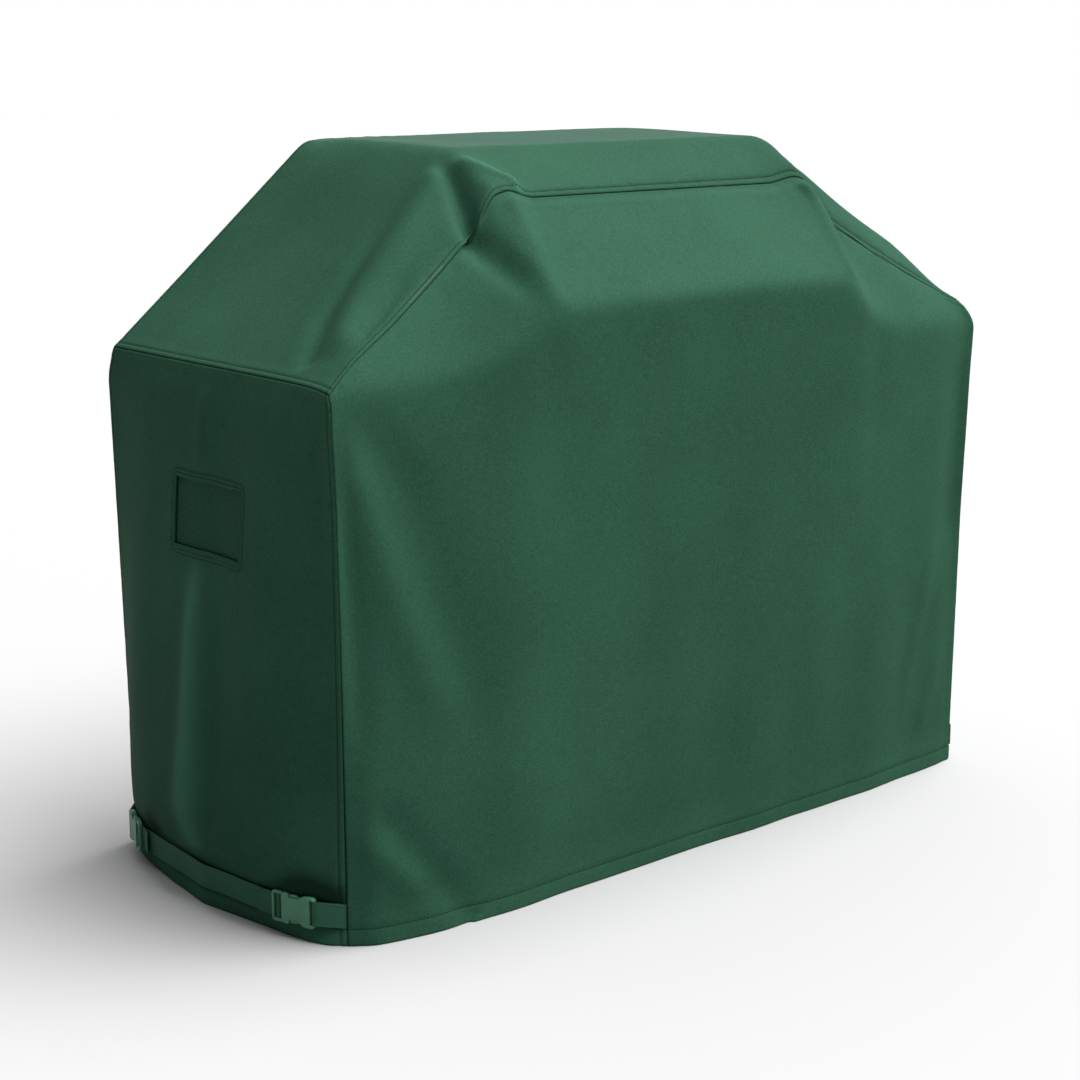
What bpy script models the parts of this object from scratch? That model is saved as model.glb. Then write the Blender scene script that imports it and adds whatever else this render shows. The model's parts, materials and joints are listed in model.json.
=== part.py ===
"""Fitted cover for a cart grill: sewn panels, screened vents, and at each end a strap with two buckles.

The cover stands on its hem, centred on the origin. X runs along its width and -Y is the front.
"""
import math

import bmesh
import bpy
from mathutils import Matrix, Vector

# Overall sizes, in metres
WIDTH = 1.473
FRONT_D = 0.318
BACK_D = 0.302
SHOULDER_Z = 0.887
TOP_Z = 1.224
HALF_W = WIDTH / 2

# Walls
FABRIC_T = 0.0015
HEM_H = 0.028
HEM_T = 0.0032
HEM_STEP = 0.0015
SEAM_GAP = 0.0003
FRONT_FLARE = 0.020
BACK_FLARE = 0.008
FRONT_TAPER = 0.001
BACK_TAPER = 0.014
SHOULDER_OUT = 0.008
SHOULDER_FORWARD = 0.014
FRONT_BOW_HEM = 0.044
FRONT_BOW_EDGE = 0.062
BACK_BOW = 0.016
END_BOW_HEM = 0.068
END_BOW_LOW = 0.072
END_BOW_MID = 0.038
LOW_Z = 0.140
MID_Z = 0.480
HIGH_Z = 0.790
BOW_POWER = 3.0

# Crown and lid hump
EDGE_Z = 0.850
CREASE_Z = 0.985
CREASE_D = 0.398
LID_HALF_W = 0.338
VALLEY_X = 0.402
VALLEY_Z = 1.098
VALLEY_D = 0.252
FRONT_SEAM_Z = 1.146
FRONT_SEAM_D = 0.240
BACK_SEAM_Z = 1.219
BACK_SEAM_D = 0.254
FLAT_SHARE = 0.655
FLAT_SHARE_END = 0.950

# The lid hump stands further out than the back, so the walls' own centre lies behind the origin
CENTRE_Y = (CREASE_D - BACK_D - BACK_FLARE - BACK_BOW) / 2

# Vents
VENT_HALF_W = 0.093
VENT_Y = -0.0145
VENT_LOW = 0.585
VENT_HIGH = 0.702
VENT_FRAME_W = 0.014
VENT_FRAME_T = 0.0012
MESH_T = 0.0008

# Seam tapes
TAPE_W = 0.010
TAPE_T = 0.0024
TAPE_END = 0.030
TAPE_CLEAR = 0.0060

# Straps and buckles
WEB_W = 0.040
WEB_T = 0.0015
WEB_GAP = 0.0004
STRAP_Z = 0.050
STRAP_TOP = STRAP_Z + WEB_W / 2 + 0.002
TAIL = 0.034
TAB_REACH = 0.0500
BUCKLE_W = 0.052
SOCKET_T = 0.0095
SOCKET_L = 0.063
PLUG_T = 0.0064
PLUG_L = 0.021
CAVITY_HALF_W = 0.021
CAVITY_HALF_T = 0.0029
CAVITY_L = 0.048
SLOT_HALF_W = 0.0206
SLOT_L = 0.0055
BAR_T = 0.003
END_BAR_L = 0.0040
ARM_T = 0.0050
HINGE_X = -0.0005
HINGE_Y = 0.0140
PLUG_GAP = 0.0004
MOUTH_R = 0.003
SOCKET_R = 0.007
PLUG_R = 0.006
CUT_OVER = 0.001
RIB_L = 0.038
RIB_HALF_W = 0.003
RIB_HALF_T = 0.0022
RUN_SLACK = 0.0002
TURN_SLACK = 0.0003
RUN_IN = 0.0035
TAIL_CLEAR = 0.010

# Half outline of the socket beside its window, from the mouth back: (X, distance from the centre line)
SOCKET_SIDE = [(-0.0104, 0.0260), (-0.0124, 0.0245), (-0.0134, 0.0188), (-0.0315, 0.0188), (-0.0355, 0.0222),
               (-0.0405, 0.0250), (-0.0455, 0.0260)]
# Outline of a latch arm about its hinge, along the inner edge, round the pad and back
ARM_OUTLINE = [(0, -0.002), (0, 0.002), (-0.0120, 0.002), (-0.0138, 0.0092), (-0.0175, 0.0103),
               (-0.0220, 0.0106), (-0.0270, 0.0098), (-0.0315, 0.0066), (-0.0345, 0.0040),
               (-0.0345, 0.0010), (-0.0300, -0.0010), (-0.0120, -0.0020)]

FABRIC_RGB = (0.036, 0.108, 0.068)
CROWN_RGB = (0.040, 0.115, 0.074)
MESH_RGB = (0.022, 0.062, 0.042)
WEB_RGB = (0.040, 0.110, 0.075)
PLASTIC_RGB = (0.052, 0.150, 0.100)
TAPE_RGB = (0.030, 0.085, 0.058)


# ---------------------------------------------------------------- helpers

def clear_scene():
    for obj in list(bpy.data.objects):
        bpy.data.objects.remove(obj)


def make_material(name, rgb, roughness):
    mat = bpy.data.materials.new(name)
    mat.use_nodes = True
    shader = mat.node_tree.nodes["Principled BSDF"]
    shader.inputs["Base Color"].default_value = (*rgb, 1.0)
    shader.inputs["Roughness"].default_value = roughness
    shader.inputs["Metallic"].default_value = 0.0
    return mat


def add_object(name, mesh, rgb, roughness=0.85, place=Matrix.Identity(4)):
    """Add a piece, moved so that the whole cover's bounding box is centred on the origin."""
    mesh.materials.append(make_material(name, rgb, roughness))
    obj = bpy.data.objects.new(name, mesh)
    bpy.context.collection.objects.link(obj)
    obj.matrix_world = Matrix.Translation((0, CENTRE_Y, 0)) @ place


def mesh_from(name, points, faces):
    mesh = bpy.data.meshes.new(name)
    mesh.from_pydata([tuple(p) for p in points], [], faces)
    bm = bmesh.new()
    bm.from_mesh(mesh)
    bmesh.ops.recalc_face_normals(bm, faces=bm.faces)
    bm.to_mesh(mesh)
    bm.free()
    return mesh


def spread(start, end, count):
    """Evenly spaced values from start up to, and without, end."""
    return [start + (end - start) * i / count for i in range(count)]


def ramp(value, stops):
    """Straight-line interpolation through (position, value) stops in rising order."""
    for (a, va), (b, vb) in zip(stops, stops[1:]):
        if value <= b:
            return va + (vb - va) * (value - a) / (b - a)
    return stops[-1][1]


def mirrored(half):
    """A list that runs from 0 outwards, completed with its negative side."""
    return [-v for v in reversed(half[1:])] + half


# ---------------------------------------------------------------- outer surface

def corner_x(z, side):
    """Half width of the front (side -1) or back (side 1) corner seams at height z."""
    taper = FRONT_TAPER if side < 0 else BACK_TAPER
    low = HALF_W - taper
    return ramp(z, [(0, low), (STRAP_TOP, low), (EDGE_Z, HALF_W + SHOULDER_OUT), (SHOULDER_Z, HALF_W)])


def corner_y(z, side):
    """Half depth of the front or back corner seams at height z."""
    if side < 0:
        low, edge, top = FRONT_D + FRONT_FLARE, FRONT_D + SHOULDER_FORWARD, FRONT_D
    else:
        low, edge, top = BACK_D + BACK_FLARE, BACK_D + BACK_FLARE, BACK_D
    return ramp(z, [(0, low), (STRAP_TOP, low), (EDGE_Z, edge), (SHOULDER_Z, top)])


def side_of(share):
    return -1 if share < 0 else 1


def bow(share):
    """How much of the full bow a wall has at a share of its half length."""
    return 1 - abs(share) ** BOW_POWER


def crown_seam(share, side):
    """Half depth and height of the front or back crown seam at a share of the half width."""
    x = abs(share) * HALF_W
    if side > 0:
        depth = ramp(x, [(0, BACK_SEAM_D), (LID_HALF_W, BACK_SEAM_D), (HALF_W, BACK_D)])
        return depth, ramp(x, [(0, BACK_SEAM_Z), (LID_HALF_W, BACK_SEAM_Z), (HALF_W, SHOULDER_Z)])
    depth = ramp(x, [(0, FRONT_SEAM_D), (LID_HALF_W, FRONT_SEAM_D), (VALLEY_X, VALLEY_D), (HALF_W, FRONT_D)])
    height = ramp(x, [(0, FRONT_SEAM_Z), (LID_HALF_W, FRONT_SEAM_Z + 0.004), (VALLEY_X, VALLEY_Z),
                      (HALF_W, SHOULDER_Z)])
    return depth, height


def wall_bow(z, side):
    """Greatest outward bow of the front or back panel at height z."""
    if side > 0:
        return BACK_BOW
    return ramp(z, [(0, FRONT_BOW_HEM), (EDGE_Z, FRONT_BOW_EDGE)])


def long_wall_depth(share, z, side):
    """Half depth of the front or back panel."""
    if z <= EDGE_Z:
        return corner_y(z, side) + wall_bow(z, side) * bow(share)
    seam_d, seam_z = crown_seam(share, side)
    edge = corner_y(EDGE_Z, side) + wall_bow(EDGE_Z, side) * bow(share)
    tent = edge + (seam_d - edge) * (z - EDGE_Z) / (seam_z - EDGE_Z)
    if side > 0:
        return tent
    lid = ramp(z, [(EDGE_Z, edge), (CREASE_Z, CREASE_D), (FRONT_SEAM_Z + 0.004, FRONT_SEAM_D)])
    x = abs(share) * HALF_W
    hump = ramp(x, [(0, 1), (LID_HALF_W, 1), (VALLEY_X, 0), (HALF_W, 0)])
    return tent + (lid - tent) * hump


def end_wall_bow(z):
    """Greatest outward bow of the side panels at height z; level behind the strap."""
    return ramp(z, [(0, END_BOW_HEM), (STRAP_TOP, END_BOW_HEM), (LOW_Z, END_BOW_LOW), (MID_Z, END_BOW_MID),
                    (SHOULDER_Z, 0)])


def end_wall_point(end, share, z):
    """A point on a side panel's outer face; share runs from -1 at the front to 1 at the back."""
    side = side_of(share)
    x_mid = (corner_x(z, -1) + corner_x(z, 1)) / 2
    x_edge = x_mid + (corner_x(z, side) - x_mid) * abs(share)
    return Vector((end * (x_edge + end_wall_bow(z) * bow(share)), share * corner_y(z, side), z))


def crown_height(share_x, share_y):
    x = abs(share_x) * HALF_W
    middle = ramp(x, [(0, TOP_Z), (LID_HALF_W, TOP_Z), (HALF_W, SHOULDER_Z)])
    edge = crown_seam(share_x, side_of(share_y))[1]
    flat = ramp(x, [(0, FLAT_SHARE), (LID_HALF_W, FLAT_SHARE), (HALF_W, FLAT_SHARE_END)])
    return ramp(abs(share_y), [(0, middle), (flat, middle), (1, edge)])


def width_shares():
    lid = spread(0, LID_HALF_W, 4)
    slope = [LID_HALF_W] + spread(VALLEY_X, HALF_W, 5) + [HALF_W]
    return mirrored([x / HALF_W for x in lid + slope])


def depth_shares():
    """Stations from the front (-1) to the back (1), with one at each edge of the vent's window."""
    ahead = (VENT_HALF_W - VENT_Y) / FRONT_D
    behind = (VENT_HALF_W + VENT_Y) / BACK_D
    half = [spread(0, vent, 2) + spread(vent, FLAT_SHARE, 2) + spread(FLAT_SHARE, 1, 3) + [1]
            for vent in (ahead, behind)]
    return [-f for f in reversed(half[0])] + half[1][1:]


def wall_heights():
    low = [0, HEM_H, HEM_H + HEM_STEP, STRAP_TOP]
    return low + spread(LOW_Z, VENT_LOW, 5) + spread(VENT_LOW, VENT_HIGH, 2) + [VENT_HIGH, HIGH_Z, EDGE_Z]


def long_wall_grid(side):
    """Rows of points of the front (side -1) or back (side 1) panel, hem first."""
    rows = []
    for z in wall_heights() + [SHOULDER_Z]:
        half = corner_x(z, side)
        rows.append([Vector((s * half, side * long_wall_depth(s, z, side), z)) for s in width_shares()])
    crease = (CREASE_Z - SHOULDER_Z) / (FRONT_SEAM_Z - SHOULDER_Z)
    for part in (crease / 2, crease, (1 + crease) / 2, 1):
        row = []
        for s in width_shares():
            z = SHOULDER_Z + (crown_seam(s, side)[1] - SHOULDER_Z) * part
            row.append(Vector((s * HALF_W, side * long_wall_depth(s, z, side), z)))
        rows.append(row)
    return rows


def crown_grid():
    rows = []
    for f in depth_shares():
        row = []
        for s in width_shares():
            row.append(Vector((s * HALF_W, f * crown_seam(s, side_of(f))[0], crown_height(s, f))))
        rows.append(row)
    return rows


def side_grid(end):
    return [[end_wall_point(end, f, z) for f in depth_shares()] for z in wall_heights() + [SHOULDER_Z]]


# ---------------------------------------------------------------- panels

class Shell:
    """The whole outer surface, welded, with the panel that each face belongs to."""

    def __init__(self):
        self.points = []
        self.lookup = {}
        self.faces = []

    def vertex(self, point):
        key = tuple(round(c, 5) for c in point)
        if key not in self.lookup:
            self.lookup[key] = len(self.points)
            self.points.append(point)
        return self.lookup[key]

    def add_grid(self, panel, rows, outward):
        """Add a grid's faces to a panel, turned so that they face the given way."""
        ids = [[self.vertex(p) for p in row] for row in rows]
        for low, high in zip(ids, ids[1:]):
            for i in range(len(low) - 1):
                face = []
                for v in (low[i], low[i + 1], high[i + 1], high[i]):
                    if v not in face:
                        face.append(v)
                if len(face) > 2:
                    self.faces.append((panel, self.turned(face, outward)))

    def turned(self, face, outward):
        a, b, c = (self.points[v] for v in face[:3])
        if (b - a).cross(c - b).dot(outward) < 0:
            return face[::-1]
        return face

    def face_normal(self, face):
        pts = [self.points[v] for v in face]
        total = Vector()
        for a, b in zip(pts, pts[1:] + pts[:1]):
            total += a.cross(b)
        return total.normalized()

    def solve_mitres(self):
        """For each vertex, the way outwards that keeps an even thickness across the seams."""
        normals = [{} for _ in self.points]
        for panel, face in self.faces:
            n = self.face_normal(face)
            for v in face:
                normals[v].setdefault(panel, []).append(n)
        self.mitres = []
        for point, panels in zip(self.points, normals):
            group = [sum(found, Vector()).normalized() for found in panels.values()]
            mean = sum(group, Vector())
            if point.z < 1e-6:
                mean.z = 0
            mean.normalize()
            spread_out = sum(mean.dot(n) for n in group) / len(group)
            self.mitres.append(mean / max(spread_out, 0.4))

    def thickness(self, point):
        return HEM_T if point.z <= HEM_H + 1e-6 else FABRIC_T


def inward_steps(shell, faces):
    """How far each vertex on a panel's seams steps into the panel, to leave the seam gap."""
    owner = {}
    for face in faces:
        for a, b in zip(face, face[1:] + face[:1]):
            owner[(a, b)] = face
    steps = {}
    for (a, b), face in owner.items():
        on_hem = shell.points[a].z < 1e-6 and shell.points[b].z < 1e-6
        if (b, a) in owner or on_hem:
            continue
        along = (shell.points[b] - shell.points[a]).normalized()
        inward = shell.face_normal(face).cross(along)
        for v in (a, b):
            steps.setdefault(v, []).append(inward)
    result = {}
    for v, ways in steps.items():
        first = ways[0]
        apart = [w for w in ways if w.dot(first) < 0.7]
        step = first + (apart[0] if apart else Vector())
        result[v] = step * SEAM_GAP
    return result, [edge for edge in owner if (edge[1], edge[0]) not in owner]


def panel_mesh(name, shell, skip=None):
    """A panel's closed solid: outer face, inner face and the edge between them."""
    faces = [face for panel, face in shell.faces if panel == name]
    if skip:
        faces = [face for face in faces if not skip([shell.points[v] for v in face])]
    steps, rim = inward_steps(shell, faces)
    used = sorted({v for face in faces for v in face})
    index = {v: i for i, v in enumerate(used)}
    outer, inner = [], []
    for v in used:
        point = shell.points[v] + steps.get(v, Vector())
        outer.append(point)
        inner.append(point - shell.mitres[v] * shell.thickness(shell.points[v]))
    count = len(used)
    solid = [[index[v] for v in face] for face in faces]
    solid += [[index[v] + count for v in reversed(face)] for face in faces]
    solid += [[index[b], index[a], index[a] + count, index[b] + count] for a, b in rim]
    return mesh_from(name, outer + inner, solid)


def in_vent(points):
    middle = sum(points, Vector()) / len(points)
    return abs(middle.y - VENT_Y) < VENT_HALF_W and VENT_LOW < middle.z < VENT_HIGH


def build_shell():
    shell = Shell()
    shell.add_grid("front_panel", long_wall_grid(-1), Vector((0, -1, 0.3)))
    shell.add_grid("back_panel", long_wall_grid(1), Vector((0, 1, 0.3)))
    shell.add_grid("crown_panel", crown_grid(), Vector((0, 0, 1)))
    shell.add_grid("left_side_panel", side_grid(-1), Vector((-1, 0, 0)))
    shell.add_grid("right_side_panel", side_grid(1), Vector((1, 0, 0)))
    shell.solve_mitres()
    return shell


def add_panels(shell):
    for name in ("front_panel", "back_panel", "left_side_panel", "right_side_panel"):
        skip = in_vent if "side" in name else None
        add_object(name, panel_mesh(name, shell, skip), FABRIC_RGB)
    add_object("crown_panel", panel_mesh("crown_panel", shell), CROWN_RGB)


# ---------------------------------------------------------------- seam tapes

def tape_mesh(name, shell, line):
    """A sealed strip that stands inwards from a seam, along the bisector of its two panels."""
    ids = [shell.vertex(p) for p in line]
    points, faces = [], []
    for i, v in enumerate(ids):
        here = shell.points[v]
        before = shell.points[ids[max(i - 1, 0)]]
        after = shell.points[ids[min(i + 1, len(ids) - 1)]]
        along = (after - before).normalized()
        if i in (0, len(ids) - 1):
            near = after if i == 0 else before
            here = here + (near - here).normalized() * TAPE_END
        mitre = shell.mitres[ids[min(max(i, 1), len(ids) - 2)]]
        inward = -(mitre - along * mitre.dot(along)).normalized()
        across = along.cross(inward).normalized() * TAPE_T / 2
        start = here + inward * TAPE_CLEAR
        points += [start + across, start + across + inward * TAPE_W]
        points += [start - across + inward * TAPE_W, start - across]
    for i in range(len(ids) - 1):
        a = 4 * i
        for k in range(4):
            n = (k + 1) % 4
            faces.append([a + k, a + n, a + 4 + n, a + 4 + k])
    last = 4 * (len(ids) - 1)
    faces += [[3, 2, 1, 0], [last, last + 1, last + 2, last + 3]]
    return mesh_from(name, points, faces)


def add_seam_tapes(shell):
    heights = [z for z in wall_heights() if z > HEM_H] + [SHOULDER_Z]
    for sign, side in ((-1, "front"), (1, "back")):
        crown_line = long_wall_grid(sign)[-1]
        name = side + "_crown_seam_tape"
        add_object(name, tape_mesh(name, shell, crown_line), TAPE_RGB)
        for end, end_name in ((-1, "left"), (1, "right")):
            name = f"{side}_{end_name}_corner_tape"
            line = [end_wall_point(end, sign, z) for z in heights]
            add_object(name, tape_mesh(name, shell, line), TAPE_RGB)
    for end, end_name in ((-1, "left"), (1, "right")):
        name = end_name + "_shoulder_seam_tape"
        line = side_grid(end)[-1]
        add_object(name, tape_mesh(name, shell, line), TAPE_RGB)


# ---------------------------------------------------------------- vents

def bracket(stations, value):
    """The neighbouring stations that hold a value."""
    for low, high in zip(stations, stations[1:]):
        if value <= high + 1e-9:
            return low, high
    return stations[-2], stations[-1]


def side_point(end, y, z, lift=0.0):
    """A point on a side panel's faceted outer face, raised from it by lift."""
    share = y / corner_y(z, side_of(y))
    low, high = bracket(wall_heights() + [SHOULDER_Z], z)
    before, after = bracket(depth_shares(), share)
    t = (share - before) / (after - before)
    u = (z - low) / (high - low)
    bottom = end_wall_point(end, before, low).lerp(end_wall_point(end, after, low), t)
    top = end_wall_point(end, before, high).lerp(end_wall_point(end, after, high), t)
    point = bottom.lerp(top, u)
    return Vector((point.x + end * lift, y, z))


def plate_mesh(name, end, ys, zs, lift, thickness, hole=None):
    """A thin plate that follows a side panel, without the cells that hole picks out."""
    points, faces, ids = [], [], {}
    for level in (lift + thickness, lift):
        for j, z in enumerate(zs):
            for i, y in enumerate(ys):
                ids[(level, i, j)] = len(points)
                points.append(side_point(end, y, z, level))
    top, bottom = lift + thickness, lift
    cells = {(i, j) for i in range(len(ys) - 1) for j in range(len(zs) - 1) if not (hole and hole(i, j))}
    for i, j in cells:
        corners = [(i, j), (i + 1, j), (i + 1, j + 1), (i, j + 1)]
        faces.append([ids[(top, *c)] for c in corners])
        faces.append([ids[(bottom, *c)] for c in reversed(corners)])
        around = [(i, j - 1), (i + 1, j), (i, j + 1), (i - 1, j)]
        for k, neighbour in enumerate(around):
            if neighbour not in cells:
                a, b = corners[k], corners[(k + 1) % 4]
                faces.append([ids[(top, *b)], ids[(top, *a)], ids[(bottom, *a)], ids[(bottom, *b)]])
    mesh = mesh_from(name, points, faces)
    bm = bmesh.new()
    bm.from_mesh(mesh)
    bmesh.ops.delete(bm, geom=[v for v in bm.verts if not v.link_faces], context="VERTS")
    bm.to_mesh(mesh)
    bm.free()
    return mesh


def add_vents():
    half = [0, VENT_HALF_W / 2, VENT_HALF_W, VENT_HALF_W + VENT_FRAME_W]
    wide = [VENT_Y + y for y in mirrored(half)]
    tall = [VENT_LOW - VENT_FRAME_W, VENT_LOW, (VENT_LOW + VENT_HIGH) / 2, VENT_HIGH, VENT_HIGH + VENT_FRAME_W]
    behind = -FABRIC_T - WEB_GAP - MESH_T
    for end, side in ((-1, "left"), (1, "right")):
        name = side + "_vent_frame"
        mesh = plate_mesh(name, end, wide, tall, WEB_GAP, VENT_FRAME_T,
                          hole=lambda i, j: 0 < i < len(wide) - 2 and 0 < j < len(tall) - 2)
        add_object(name, mesh, FABRIC_RGB)
        name = side + "_vent_mesh"
        add_object(name, plate_mesh(name, end, wide, tall, behind, MESH_T), MESH_RGB)


# ---------------------------------------------------------------- buckles

def prism(name, outline, half_t):
    """A flat outline in X and Y, extruded to half_t on both sides of Z = 0."""
    count = len(outline)
    points = [(x, y, -half_t) for x, y in outline] + [(x, y, half_t) for x, y in outline]
    faces = [list(range(count)), list(range(count, 2 * count))]
    faces += [[i, (i + 1) % count, (i + 1) % count + count, i + count] for i in range(count)]
    return mesh_from(name, points, faces)


def box_mesh(name, low, high):
    outline = [(low[0], low[1]), (high[0], low[1]), (high[0], high[1]), (low[0], high[1])]
    mesh = prism(name, outline, (high[2] - low[2]) / 2)
    mesh.transform(Matrix.Translation((0, 0, (high[2] + low[2]) / 2)))
    return mesh


def carve(name, mesh, cutters, joined=(), bevel=0.0004):
    """The mesh left when boxes are cut from it, others are joined to it and its edges are eased."""
    body = bpy.data.objects.new(name, mesh)
    bpy.context.collection.objects.link(body)
    tools = []
    for operation, group in (("DIFFERENCE", cutters), ("UNION", joined)):
        for low, high in group:
            tool = bpy.data.objects.new("cutter", box_mesh("cutter", low, high))
            bpy.context.collection.objects.link(tool)
            tool.hide_render = True
            tool.display_type = "WIRE"
            step = body.modifiers.new(operation, "BOOLEAN")
            step.operation = operation
            step.object = tool
            tools.append(tool)
    ease = body.modifiers.new("ease", "BEVEL")
    ease.width = bevel
    ease.segments = 1
    ease.limit_method = "ANGLE"
    ease.angle_limit = math.radians(50)
    result = bpy.data.meshes.new_from_object(body.evaluated_get(bpy.context.evaluated_depsgraph_get()))
    for obj in tools + [body]:
        bpy.data.objects.remove(obj)
    result.name = name
    return result


def arc(cx, cy, radius, start, end, steps):
    points = []
    for i in range(steps + 1):
        angle = math.radians(start + (end - start) * i / steps)
        points.append((cx + radius * math.cos(angle), cy + radius * math.sin(angle)))
    return points


def both_sides(upper):
    """Close an outline drawn from right to left above the X axis with its mirror image below."""
    return upper + [(x, -y) for x, y in reversed(upper)]


def socket_mesh():
    """The hollow half, from its mouth at X = 0 back to the bar that holds the tab."""
    half = BUCKLE_W / 2
    upper = [(0, half - MOUTH_R), (-MOUTH_R, half)] + SOCKET_SIDE
    upper += arc(-SOCKET_L + SOCKET_R, half - SOCKET_R, SOCKET_R, 90, 180, 3)
    outer = prism("socket", both_sides(upper), SOCKET_T / 2)
    far = SOCKET_T
    slot_end = -SOCKET_L + END_BAR_L
    relief = BAR_T / 2
    cutters = [
        ((-CAVITY_L, -CAVITY_HALF_W, -CAVITY_HALF_T), (far, CAVITY_HALF_W, CAVITY_HALF_T)),
        ((slot_end, -SLOT_HALF_W, -far), (slot_end + SLOT_L, SLOT_HALF_W, far)),
        ((-SOCKET_L - far, -SLOT_HALF_W, relief), (slot_end + CUT_OVER, SLOT_HALF_W, far)),
        ((-SOCKET_L - far, -SLOT_HALF_W, -far), (slot_end + CUT_OVER, SLOT_HALF_W, -relief)),
    ]
    return carve("socket", outer, cutters)


def plug_mesh():
    """The ladder lock that holds the strap, with the rib that guides it into the socket."""
    half = BUCKLE_W / 2
    end = PLUG_L + PLUG_GAP
    upper = arc(end - PLUG_R, half - PLUG_R, PLUG_R, 0, 90, 3) + [(PLUG_GAP, half)]
    outer = prism("plug", both_sides(upper), PLUG_T / 2)
    far = PLUG_T
    relief = BAR_T / 2
    outer_slot = end - END_BAR_L - SLOT_L
    inner_slot = outer_slot - BAR_T - SLOT_L
    cutters = [
        ((outer_slot, -SLOT_HALF_W, -far), (outer_slot + SLOT_L, SLOT_HALF_W, far)),
        ((inner_slot, -SLOT_HALF_W, -far), (inner_slot + SLOT_L, SLOT_HALF_W, far)),
        ((inner_slot, -SLOT_HALF_W, relief), (outer_slot + CUT_OVER, SLOT_HALF_W, far)),
        ((inner_slot, -SLOT_HALF_W, -far), (end + far, SLOT_HALF_W, -relief)),
    ]
    rib = [((-RIB_L, -RIB_HALF_W, -RIB_HALF_T), (PLUG_GAP + CUT_OVER, RIB_HALF_W, RIB_HALF_T))]
    return carve("plug", outer, cutters, rib)


def arm_mesh(side):
    """One latch arm, drawn about its hinge; its pad fills the window on the given side."""
    outline = [(x, side * y) for x, y in ARM_OUTLINE]
    return carve("latch_arm", prism("arm", outline, ARM_T / 2), [], bevel=0.0003)


# ---------------------------------------------------------------- webbing

def offset_path(path, lift):
    """A plan path moved to its left by lift, with mitred corners."""
    moved = []
    for i, here in enumerate(path):
        ways = []
        if i > 0:
            ways.append((here - path[i - 1]).normalized())
        if i < len(path) - 1:
            ways.append((path[i + 1] - here).normalized())
        sides = [Vector((-w.y, w.x)) for w in ways]
        mean = sum(sides, Vector((0, 0))).normalized()
        moved.append(here + mean * lift / max(mean.dot(sides[0]), 0.35))
    return moved


def ribbon_mesh(name, path):
    """Webbing on edge: a plan path given half its thickness each way and the webbing's width."""
    left = offset_path(path, WEB_T / 2)
    right = offset_path(path, -WEB_T / 2)
    low, high = STRAP_Z - WEB_W / 2, STRAP_Z + WEB_W / 2
    points = []
    for a, b in zip(left, right):
        points += [(a.x, a.y, low), (a.x, a.y, high), (b.x, b.y, high), (b.x, b.y, low)]
    faces = []
    for i in range(len(path) - 1):
        base = 4 * i
        for k in range(4):
            n = (k + 1) % 4
            faces.append([base + k, base + n, base + 4 + n, base + 4 + k])
    last = 4 * (len(path) - 1)
    faces += [[3, 2, 1, 0], [last, last + 1, last + 2, last + 3]]
    return mesh_from(name, points, faces)


def end_wall_path():
    """Plan path of the left side panel's outer face behind the strap, front to back."""
    return [end_wall_point(-1, s, STRAP_Z).to_2d() for s in depth_shares()]


def point_along(path, distance):
    for a, b in zip(path, path[1:]):
        step = (b - a).length
        if distance <= step:
            return a + (b - a) * distance / step
        distance -= step
    return path[-1]


class Buckle:
    """Where a left-hand buckle lies in plan: X from socket to plug, Z away from the cover."""

    def __init__(self, path):
        reach = TAB_REACH + SOCKET_L
        tail_end = point_along(path, TAB_REACH)
        plug_end = point_along(path, reach + PLUG_L)
        self.along = (plug_end - tail_end).normalized()
        left_hand = path[0].y < path[-1].y
        self.out = Vector((-self.along.y, self.along.x)) if left_hand else Vector((self.along.y, -self.along.x))
        backing = BAR_T / 2 + 2 * WEB_T + 3 * WEB_GAP + WEB_GAP
        lift = max((p - tail_end).dot(self.out) for p in path) + backing
        self.mouth = tail_end + self.along * SOCKET_L + self.out * lift

    def at(self, x, z):
        return self.mouth + self.along * x + self.out * z

    def around_bar(self, x, half_length, way):
        """Path round the far side of a bar, from behind it to in front of it."""
        reach = BAR_T / 2 + WEB_GAP + WEB_T / 2
        turn = []
        for i in range(7):
            angle = math.pi * i / 6
            turn.append(self.at(x + way * (half_length + reach * math.sin(angle)), -reach * math.cos(angle)))
        return turn


def lock_path(buckle):
    """From the strap's run, behind the outer bar, over the middle bar and back behind both as the tail."""
    reach = BAR_T / 2 + WEB_T / 2 + WEB_GAP
    deep = -reach - WEB_T - 2 * WEB_GAP
    edge = PLUG_L + PLUG_GAP - END_BAR_L / 2
    bar = edge - END_BAR_L / 2 - SLOT_L - BAR_T / 2
    run = -reach - RUN_SLACK
    over = buckle.at(bar + BAR_T / 2, reach)
    turn = buckle.around_bar(bar, BAR_T / 2, -1)
    tail = [buckle.at(bar, deep + TURN_SLACK), buckle.at(edge, deep), buckle.at(edge + TAIL, deep)]
    return [buckle.at(edge, run), buckle.at(edge - RUN_IN, run), over] + turn[-2:0:-1] + tail


def strap_path(wall, front, rear):
    """Tail, first buckle, along the wall, second buckle, tail."""
    wall_run = offset_path(wall, 1.5 * WEB_T + 2 * WEB_GAP)
    clear = PLUG_L + PLUG_GAP - END_BAR_L / 2 + TAIL + TAIL_CLEAR
    middle = [p for p in wall_run if front.at(clear, 0).y < p.y < rear.at(clear, 0).y]
    return lock_path(front)[::-1] + middle + lock_path(rear)


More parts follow.
